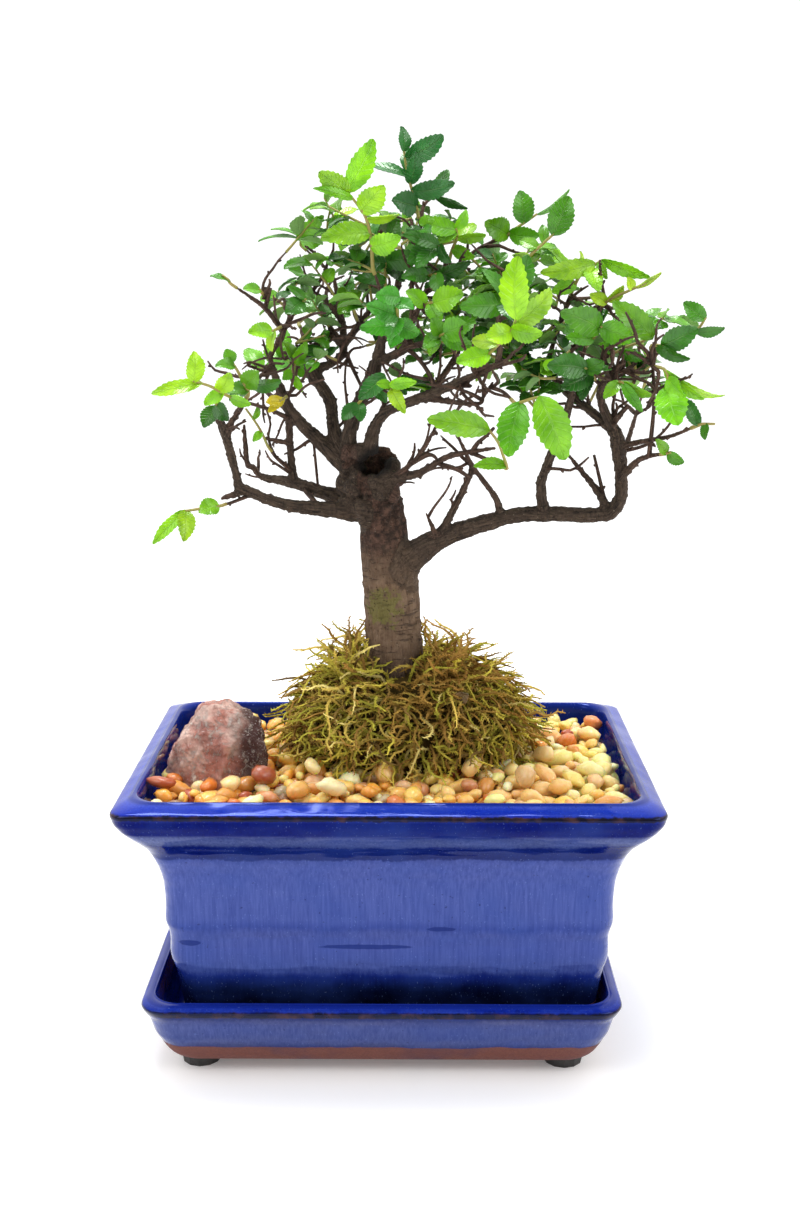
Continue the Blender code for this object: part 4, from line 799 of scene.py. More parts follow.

# %% [markdown]
# ## The rock's finish
# The stone is pink and purple quartz: pale crystals and glittering grains over a rusty red, much darker
# towards the right, where the dark is painted shade on the side away from the light. Patches of noise at
# several sizes lie over each other.

# %% Rock finish
quartz = Finish("rough_quartz", **{"Specular IOR Level": 0.5})
patches = quartz.ramp(quartz.noise(0.12, 5.0, 0.65, warp=0.5), [(0.42, 0.0), (0.6, 1.0)])
quartz_colour = quartz.mix(patches, (0.58, 0.235, 0.180), (0.95, 0.66, 0.56))
dark_side = quartz.ramp(quartz.noise(0.07, 4.0, 0.6, (4, 2, 9)), [(0.5, 0.0), (0.66, 0.8)])
quartz_colour = quartz.mix(dark_side, quartz_colour, (0.20, 0.075, 0.065))
# Painted shade: the colour darkens towards the right, the side away from the light.
painted_shade_right = quartz.sum("ADD", quartz.along("X"), quartz.sum("MULTIPLY", quartz.noise(0.2, 3.0), 8.0))
painted_shade_right = quartz.sum("DIVIDE", quartz.sum("ADD", painted_shade_right, 80.0), 60.0)
painted_shade_right = quartz.ramp(painted_shade_right, [(0.44, 0.0), (0.53, 0.92)])
quartz_colour = quartz.mix(painted_shade_right, quartz_colour, (0.060, 0.020, 0.018))
crystals = quartz.ramp(quartz.noise(0.5, 5.0, 0.8, warp=0.4), [(0.53, 0.0), (0.64, 0.9)])
quartz_colour = quartz.mix(crystals, quartz_colour, (0.95, 0.82, 0.74))
glitter = quartz.ramp(quartz.noise(2.0, 2.0), [(0.64, 0.0), (0.72, 1.0)])
quartz_colour = quartz.mix(glitter, quartz_colour, (0.90, 0.80, 0.78))
duller = quartz.sum("SUBTRACT", 0.75, quartz.sum("MULTIPLY", glitter, 0.5))
quartz.put(quartz.shader, {"Base Color": quartz_colour, "Roughness": duller})
quartz.bump(quartz.sum("ADD", quartz.noise(0.7, 6.0, 0.75), quartz.sum("MULTIPLY", crystals, 0.5)), 1.6)
finish_piece("quartz_rock", rock_mesh(), [quartz.material], ["rock"])

# %% [markdown]
# ## The moss
# Dried sheet moss is a tangle of soft, crooked strands, each a thin stem feathered with tiny scale leaves.
# Sixteen strands are modelled with all their scales, and turned and tinted copies cover the mound.

# %% Moss strands
SCALES = 23


def strand_mesh(pick):
    """One crooked strand that starts at the origin and wanders along y, feathered with scale leaves."""
    steps = 7
    length = pick.uniform(7.0, 14.5)
    path = [Vector((0, 0, 0))]
    heading = pick.uniform(-0.5, 0.5)
    climb = pick.uniform(0.2, 0.7)
    for k in range(steps):
        heading += pick.uniform(-0.85, 0.85)
        climb -= pick.uniform(-0.25, 0.45)
        path.append(path[-1] + Vector((math.sin(heading), math.cos(heading), climb)) * (length / steps))
    bm = bmesh.new()
    loft(bm, tube_rings(path, [0.25] * (steps - 2) + [0.22, 0.18, 0.1], 3))
    for k in range(SCALES):
        t = (k + 0.6) / SCALES
        at = int(t * steps)
        foot = path[at].lerp(path[at + 1], t * steps - at)
        way = (path[at + 1] - path[at]).normalized()
        turn = math.pi * k + pick.uniform(-0.9, 0.9)
        ahead = (Vector((math.cos(turn), 0, math.sin(turn))) + way * 0.5).normalized()
        size = pick.uniform(1.0, 1.7) * (1.0 - 0.4 * t)
        turned = ahead.to_track_quat("Z", "Y").to_matrix().to_4x4()
        place = Matrix.Translation(foot + ahead * size * 0.5) @ turned
        bmesh.ops.create_cone(
            bm, cap_ends=True, segments=3, radius1=0.27, radius2=0.0, depth=size,
            matrix=place @ Matrix.Diagonal((1, 0.6, 1, 1)))
    return mesh_from("strand", bm, smooth=False)


def laid(foot, way, up, size):
    """The matrix that lays a strand at foot, pointing along way."""
    way = way.normalized()
    side = way.cross(up).normalized()
    top = side.cross(way)
    turned = Matrix((side, way, top)).transposed().to_4x4()
    return Matrix.Translation(foot) @ turned @ Matrix.Scale(size, 4)


def shaded_strand(kind, place, colour):
    """A copy of a strand with painted shade: a darker foot, down in the mat, and a lighter tip."""
    strand = kind.copy()
    points = np.empty(len(strand.vertices) * 3)
    strand.vertices.foreach_get("co", points)
    along_it = np.clip(points.reshape(-1, 3)[:, 1] / 12.0, 0, 1)
    # Painted shade: darker towards the foot, down in the mat, and lighter towards the tip.
    shade = 0.62 + 0.58 * along_it
    colours = np.ones((len(along_it), 4))
    colours[:, :3] = np.outer(shade, colour)
    painted = strand.color_attributes.new("moss_colour", "FLOAT_COLOR", "POINT")
    painted.data.foreach_set("color", colours.reshape(-1))
    strand.transform(place)
    return strand

# %% [markdown]
# ## Where the strands lie
# The mound is an oval heap with the trunk in its middle. A strand starts on the heap's side, or in a tuft
# round the trunk, and points downhill, sideways or outwards. It keeps off the trunk, the rock and the trunk's
# open front.

# %% Strands on the mound
MOSS_RINGS = [
    (76.3, 33.4, 24.4), (80.0, 33.4, 24.4), (86.0, 37.0, 28.0), (92.0, 38.0, 29.5), (99.0, 36.0, 28.0),
    (106.0, 30.0, 24.0), (110.5, 24.0, 20.0), (113.0, 18.0, 16.5),
]
MOSS_COLOURS = [
    ((0.54, 0.46, 0.075), 8), ((0.4, 0.37, 0.055), 6), ((0.6, 0.45, 0.11), 7), ((0.36, 0.21, 0.055), 7),
    ((0.74, 0.62, 0.24), 2), ((0.22, 0.14, 0.045), 3),
]
ROOT = Vector((1.6, 8.0, 0.0))


def moss_reach(z):
    """Half sizes of the mound at a height."""
    for (low, x0, y0), (high, x1, y1) in zip(MOSS_RINGS, MOSS_RINGS[1:]):
        if z <= high:
            share = max(0.0, (z - low) / (high - low))
            return x0 + (x1 - x0) * share, y0 + (y1 - y0) * share
    return MOSS_RINGS[-1][1:]


def strand_foot(grow):
    """A strand's foot, the ways round and outwards there, and whether it is in a tuft at the trunk."""
    round_way = grow.uniform(0, 2 * math.pi)
    z = 80.0 + 33.5 * grow.random() ** 0.8
    half_x, half_y = moss_reach(z)
    uneven = Vector((4.0 * math.cos(round_way), 4.0 * math.sin(round_way), z * 0.15))
    inward = 0.92 + 0.1 * noise.noise(uneven)
    inward = inward if z < 111 else grow.uniform(0.4, 0.97)
    foot = Vector((
        MOSS_CENTRE[0] + half_x * inward * math.cos(round_way),
        MOSS_CENTRE[1] + half_y * inward * math.sin(round_way), min(z, 112.0)))
    tuft = grow.random() < 0.17
    if tuft:
        near = grow.uniform(9.4, 20.0)
        foot = Vector((
            ROOT.x + near * math.cos(round_way), ROOT.y + near * 0.9 * math.sin(round_way),
            113.0 - 0.25 * (near - 9.0)))
    out = Vector((math.cos(round_way) / half_x, math.sin(round_way) / half_y, 0)).normalized()
    return foot, out, z, tuft


def strand_way(grow, foot, out, z, tuft):
    """Which way a strand points and which side of it is up."""
    across = Vector((-out.y, out.x, 0))
    lift = max(0.05, (z - 90.0) / 24.0)
    up = (out * (1.0 - 0.7 * lift) + Vector((0, 0, 0.25 + lift))).normalized()
    down = across.cross(up)
    down = -down if down.z > 0 else down
    way = down * grow.uniform(0.4, 1.3) + across * grow.gauss(0, 0.85 + 0.4 * lift)
    way += up * grow.uniform(-0.1, 0.45)
    if z < 96 and abs(foot.x - 2) > 14 and grow.random() < 0.35:
        way += out * grow.uniform(1.0, 2.6)
    if grow.random() < 0.16:
        way += up * grow.uniform(0.3, 1.0) + out * grow.uniform(0.4, 1.6)
    if tuft:
        way = Vector((0, 0, grow.uniform(0.2, 1.5)))
        way = way + out * grow.uniform(-0.2, 1.0) + across * grow.gauss(0, 0.7)
        up = Vector((0, 0, 1)) + out * 0.4
    return way, up


def tip_is_free(tip):
    """Above the pebbles, inside the rim, off trunk and rock, and not before the trunk's foot."""
    off_the_trunk = math.hypot(tip.x - ROOT.x, tip.y - ROOT.y)
    if off_the_trunk < 8.9 or not 81.0 <= tip.z <= 124 or abs(tip.y) > RIM_Y - 8.0:
        return False
    if tip.y < ROOT.y and abs(tip.x - ROOT.x) < 10.5 and tip.z > 111.5:
        return False
    return outside_oval(tip.x, tip.y, ROCK_CENTRE, ROCK_SIZE, 0)

# %% [markdown]
# ## The moss itself
# A dark heap closes the gaps below; its dark colour is painted shade between the strands. 2,250 strands in
# golden, green and dry brown tones cover it. They are split into two pieces to keep each one light.

# %% Moss
STRANDS = 2250
IN_FIRST_PIECE = 1250
grow = random.Random(31)
kinds = [strand_mesh(grow) for _ in range(16)]
moss_shades, moss_weights = zip(*MOSS_COLOURS)
rings = []
for z, half_x, half_y in MOSS_RINGS:
    ring = oval_ring(half_x * 0.88, half_y * 0.88, z, 48, MOSS_CENTRE)
    if z > 81:
        middle = Vector((*MOSS_CENTRE, z - 2.0))
        ring = [middle + (p - middle) * (0.90 + 0.22 * noise.noise(p * 0.13)) for p in ring]
    rings.append(ring)
mound = loft_mesh("mound", rings)
# Painted shade: the heap's dark colour stands for the shade in the gaps between the strands.
tinted(mound, "moss_colour", (0.060, 0.040, 0.012))
moss_meshes = [mound]
wisps = []
while len(moss_meshes) + len(wisps) < STRANDS:
    foot, out, z, tuft = strand_foot(grow)
    if math.hypot(foot.x - ROOT.x, foot.y - ROOT.y) < 9.2:
        continue
    way, up = strand_way(grow, foot, out, z, tuft)
    place = laid(foot - up * 0.6, way, up, grow.uniform(0.85, 1.5) if tuft else grow.uniform(0.7, 1.3))
    if not tip_is_free(place @ Vector((0, 9.0, 1.0))):
        continue
    dry = 0.85 if 2 < foot.x < 26 and foot.y < 16 and z > 96 and grow.random() < 0.6 else 0.0
    colour = Vector(grow.choices(moss_shades, moss_weights)[0]).lerp(Vector((0.34, 0.19, 0.05)), dry)
    pile = wisps if len(moss_meshes) > IN_FIRST_PIECE else moss_meshes
    pile.append(shaded_strand(grow.choice(kinds), place, colour * grow.uniform(0.75, 1.2)))
for kind in kinds:
    bpy.data.meshes.remove(kind)

# %% [markdown]
# ## The moss's finish
# Dried moss is dull. Each strand brings its own colour, and a fine noise varies every scale.

# %% Moss finish
felt = Finish("sheet_moss_dry", **{"Roughness": 0.8, "Specular IOR Level": 0.08})
flecks = felt.mix(felt.noise(0.7, 3.0), (0.5, 0.45, 0.35), (1.5, 1.5, 1.3))
green = felt.mix(1.0, felt.attribute("moss_colour", "Color"), flecks, "MULTIPLY")
felt.put(felt.shader, {"Base Color": green})
felt.bump(felt.noise(4.0, 2.0), 0.1)
finish_piece("moss_strands", merged("moss_strands", moss_meshes), [felt.material], ["moss"])
finish_piece("moss_wisps", merged("moss_wisps", wisps), [felt.material], [])

# %% [markdown]
# ## The tree's wood
# Wires and many cuts shaped this tree, so no branch follows a rule. Each one is given as points of the
# front view, (across, down, depth, radius), from its foot to its tip. The rest of the tree hangs on them.

# %% Branches
WOOD = {
    "right": (7, [
        (399, 572, 7, 5.4), (412, 557, 6, 4.5), (446, 536, 5, 2.9), (508, 516.5, 3, 2.35),
        (548, 514, 2, 2.2), (601, 514.5, 0, 2.1), (615, 508, -0.5, 2), (621, 496, -1, 1.9),
        (621, 474, -2, 1.8), (618, 443, -4, 2.1), (612.6, 426, -4, 1.9)]),
    "right_back": (5, [(613, 430, -4, 1.9), (597, 416, -2, 1.7), (566, 391, 6, 1.6), (540, 362, 14, 1.1)]),
    "right_up": (4, [(612, 428, -4, 1.7), (600, 391, -10, 1.4), (624, 360, -15, 0.9)]),
    "right_stub": (4, [(611, 426, -4, 1.3), (628, 405, -10, 1)]),
    "right_short": (3, [(611, 374, -12, 0.8), (633, 369, -18, 0.7)]),
    "elbow": (4, [(620, 479, -2, 1.6), (636, 462, -8, 1.3), (649.5, 456, -12, 1.2), (663, 454, -16, 0.9)]),
    "elbow_up": (3, [(649, 457, -12, 0.9), (653.8, 404, -15, 0.75), (652, 350, -18, 0.7)]),
    "far_right": (4, [(618, 447, -4, 1.3), (645, 441, -8, 1.1), (671, 436, -14, 1), (694, 427, -20, 0.85)]),
    "riser_a": (4, [(441, 533, 5, 1.6), (471, 472, -1, 1.3), (463, 458, -1, 1), (440, 435, -1, 0.6)]),
    "riser_stub": (4, [(436, 535, 4, 1.2), (426, 513, -1, 0.6)]),
    "riser_b": (4, [
        (501, 517, 3, 1.7), (495.4, 497.5, 2, 1.4), (473, 467, -2, 1.2), (463, 447, -4, 1),
        (450, 421, -8, 0.6)]),
    "riser_c": (5, [
        (544, 514, 2, 2), (541, 489, 0, 1.7), (543, 476, -2, 1.6), (563, 425, -6, 1.5),
        (574, 388, -10, 1.1)]),
    "riser_d": (5, [(603, 515, 0, 2.3), (601.7, 497.5, 1, 1.6), (566, 452, 8, 0.7)]),
    "riser_twig": (3, [(607, 512, -1, 0.9), (594, 455, 5, 0.5)]),
    "front": (5, [
        (385, 478, 6, 2.6), (400, 477, 1, 2), (421.7, 472, -3, 1.6), (450, 456, -10, 1.3),
        (496, 448, -19, 0.8)]),
    "front_low": (4, [(441, 465, -8, 1.1), (456, 469, -7, 0.9), (470, 478, -3, 0.9)]),
    "front_bud": (3, [(472, 453, -14, 0.8), (504, 467, -24, 0.65)]),
    "front_rise": (3, [
        (471, 454, -14, 1), (477, 444, -16, 0.9), (485, 437, -19, 0.8), (494, 428, -21, 0.7)]),
    "curl": (4, [
        (390, 479, 5, 1.6), (400, 473, 0, 1.3), (413, 462, -4, 1.2), (422, 452, -7, 1.1),
        (439, 421, -14, 0.7)]),
    "curl_dead": (3, [(412, 463, -4, 1), (425, 456, -7, 1), (432, 455, -8, 0.9), (437, 459, -9, 0.5)]),
    "stump": (6, [
        (369, 452, 6, 3), (375, 427, 3, 2.4), (385, 413, 0, 2.3), (401, 405, -4, 2.1),
        (443.4, 389, -16, 1.9), (505, 362, -29, 1)]),
    "stump_low": (4, [
        (424, 398, -10, 1.3), (475, 404, -21, 1), (484, 396, -23, 0.9), (493, 382, -25, 0.8)]),
    "stump_hang": (3, [(490, 387, -24, 0.8), (503, 392, -28, 0.7), (513, 401, -32, 0.65)]),
    "stump_spur": (4, [(455, 385, -18, 1.1), (470, 386, -22, 0.8)]),
    "stump_up": (4, [(437, 392, -14, 1.1), (428, 372, -12, 0.9), (416, 356, -9, 1), (407, 349, -6, 1.2)]),
    "leader": (7, [
        (350, 458, 9, 4), (349, 437, 9, 3.5), (357.8, 407, 8, 3.3), (375, 368, 4, 3.3),
        (385, 320, -2, 1.3), (384, 303, -4, 1.1), (374, 271, -6, 0.8)]),
    "cross": (5, [(377, 360, 3, 2.1), (390, 357, 0, 1.7), (411, 347, -7, 1.4), (433, 340, -15, 0.7)]),
    "top": (4, [
        (407, 350, -6, 1.4), (412, 318, -1, 1.2), (412, 283, 4, 1.2), (424, 250, 5, 1),
        (418, 215, 5, 0.7)]),
    "top_stub": (3, [(419, 260, 5, 1), (411, 219, 9, 0.7)]),
    "top_side": (3, [(421, 226, 5, 0.8), (423, 208, 8, 0.7), (430, 198, 10, 0.65)]),
    "top_right": (4, [
        (412, 301, 2, 1.2), (432, 288, 7, 1.1), (455, 268, 12, 1), (478, 249, 15, 1), (502, 238, 17, 0.8)]),
    "mid_right": (4, [
        (497, 367, -27, 1.1), (500, 345, -22, 1.1), (498, 320, -17, 1), (499, 300, -12, 1),
        (510, 280, -8, 0.9), (523, 263, -5, 0.75)]),
    "left_tall": (7, [
        (356, 470, 9, 3.8), (337, 440, 12, 3.4), (333, 425, 14, 3), (329.6, 400, 16, 2.9),
        (315, 377, 18, 2.7), (318, 370, 18, 2.4), (342, 355, 20, 1.9), (342.6, 327, 22, 1.8),
        (334, 280, 25, 1), (328, 270, 25, 0.9), (304, 248, 23, 0.7)]),
    "tall_stub": (4, [(344, 348, 21, 1.6), (329, 327, 15, 1.5)]),
    "tall_right": (4, [(344, 345, 21, 1.5), (368, 313, 15, 1.3), (372, 301, 13, 0.9)]),
    "tall_down": (3, [(345, 352, 20, 0.9), (361, 386, 10, 0.65)]),
    "tall_left": (4, [(341, 320, 22, 1.3), (330, 305, 23, 1.1), (308, 287, 25, 0.8)]),
    "tall_low": (3, [(337, 306, 23, 0.9), (318, 322, 22, 0.8), (303, 336, 20, 0.65)]),
    "knot": (5, [(317, 382, 18, 2.9), (310, 364, 17, 2.6), (311, 350, 16, 2.2), (335, 335, 14, 0.9)]),
    "knot_left": (4, [(310, 358, 17, 1.6), (281, 352, 13, 0.8)]),
    "left": (7, [
        (360, 476, 9, 4.2), (328, 448, 12, 3.7), (313.7, 436, 11, 3.3), (289, 408, 7, 2.5),
        (271, 362, 1, 1.3), (275, 347, -1, 1.2), (296, 311, -6, 0.8)]),
    "left_far": (4, [(284, 333, -3, 1.2), (265, 308, -5, 1.1), (234, 286, -9, 0.6)]),
    "far_stub": (3, [(265, 309, -5, 0.9), (270.5, 288, -3, 0.7)]),
    "far_short": (3, [(268, 301, -4, 0.75), (262, 293, -7, 0.6)]),
    "left_in": (4, [(275, 369, 2, 1.3), (263, 374, -2, 1), (255, 382, -6, 0.8)]),
    "lime_feed": (3, [(290, 419, 9, 1), (268, 409, -3, 0.8), (238, 400, -25, 0.65)]),
    "low": (7, [
        (366, 511, 7, 3.6), (344, 511, 4, 2.8), (283, 504, -5, 1.9), (241, 487, -11, 1.6),
        (237, 478, -11, 1.3), (224, 431, -13.5, 1.5), (213, 411, -15, 0.7)]),
    "low_fork": (4, [
        (226, 439, -13, 1.5), (232, 421, -15, 1.3), (241, 409, -16, 1.1), (247, 396, -19, 0.8)]),
    "low_stub": (4, [(246, 490, -10, 1.7), (221, 499, -13, 0.9)]),
    "low_twig": (3, [(250, 495, -9, 0.8), (236, 501, -11, 0.7), (223, 505, -14, 0.65)]),
    "middle": (5, [
        (366, 499, 8, 3.0), (342, 498, 10, 2.6), (293, 482.7, 15, 2), (262.7, 477, 18, 1.3),
        (254, 468, 18, 1.1), (247, 462, 17, 1.1), (244, 424, 17, 0.7)]),
    "middle_up": (4, [(294, 485, 15, 1.7), (291, 456, 14, 1.35), (288, 408, 7, 1.4)]),
    "middle_in": (3, [(291, 470, 14, 1), (277, 458, 12, 0.8), (270, 449, 10, 0.6)]),
    "middle_spur": (4, [(290, 443, 12, 1.2), (262, 438, 12, 0.7)]),
    "middle_tie": (4, [(303, 487, 14, 1.1), (320, 508, 2, 1)]),
    "thin": (3, [(314, 445, 11, 0.5), (318.5, 492, 12.5, 0.5)]),
    "shade_a": (4, [(383, 325, -1, 1.3), (398, 288, 18, 1), (402, 272, 24, 0.8)]),
    "shade_b": (4, [(545, 368, 12, 1.2), (560, 325, 9, 0.8)]),
    "shade_c": (4, [(313, 366, 17, 1.6), (305, 345, 26, 1.2), (300, 325, 33, 0.8)]),
    "shade_d": (4, [(432, 394, -12, 1.4), (458, 352, 17, 1.1), (468, 330, 27, 0.8)]),
    "shade_e": (4, [(620, 462, -3, 1.4), (628, 440, 8, 1.2), (642, 395, 24, 0.8)]),
    "shade_f": (4, [(291, 411, 8, 1.5), (270, 395, 20, 1.2), (255, 378, 29, 0.8)]),
}

BURRS = [
    (353, 507, 6, 4.6), (350, 484, 9, 4.6), (384, 462, 5, 4.2), (388, 480, 4, 3.6), (404, 566, 6, 4.6),
]

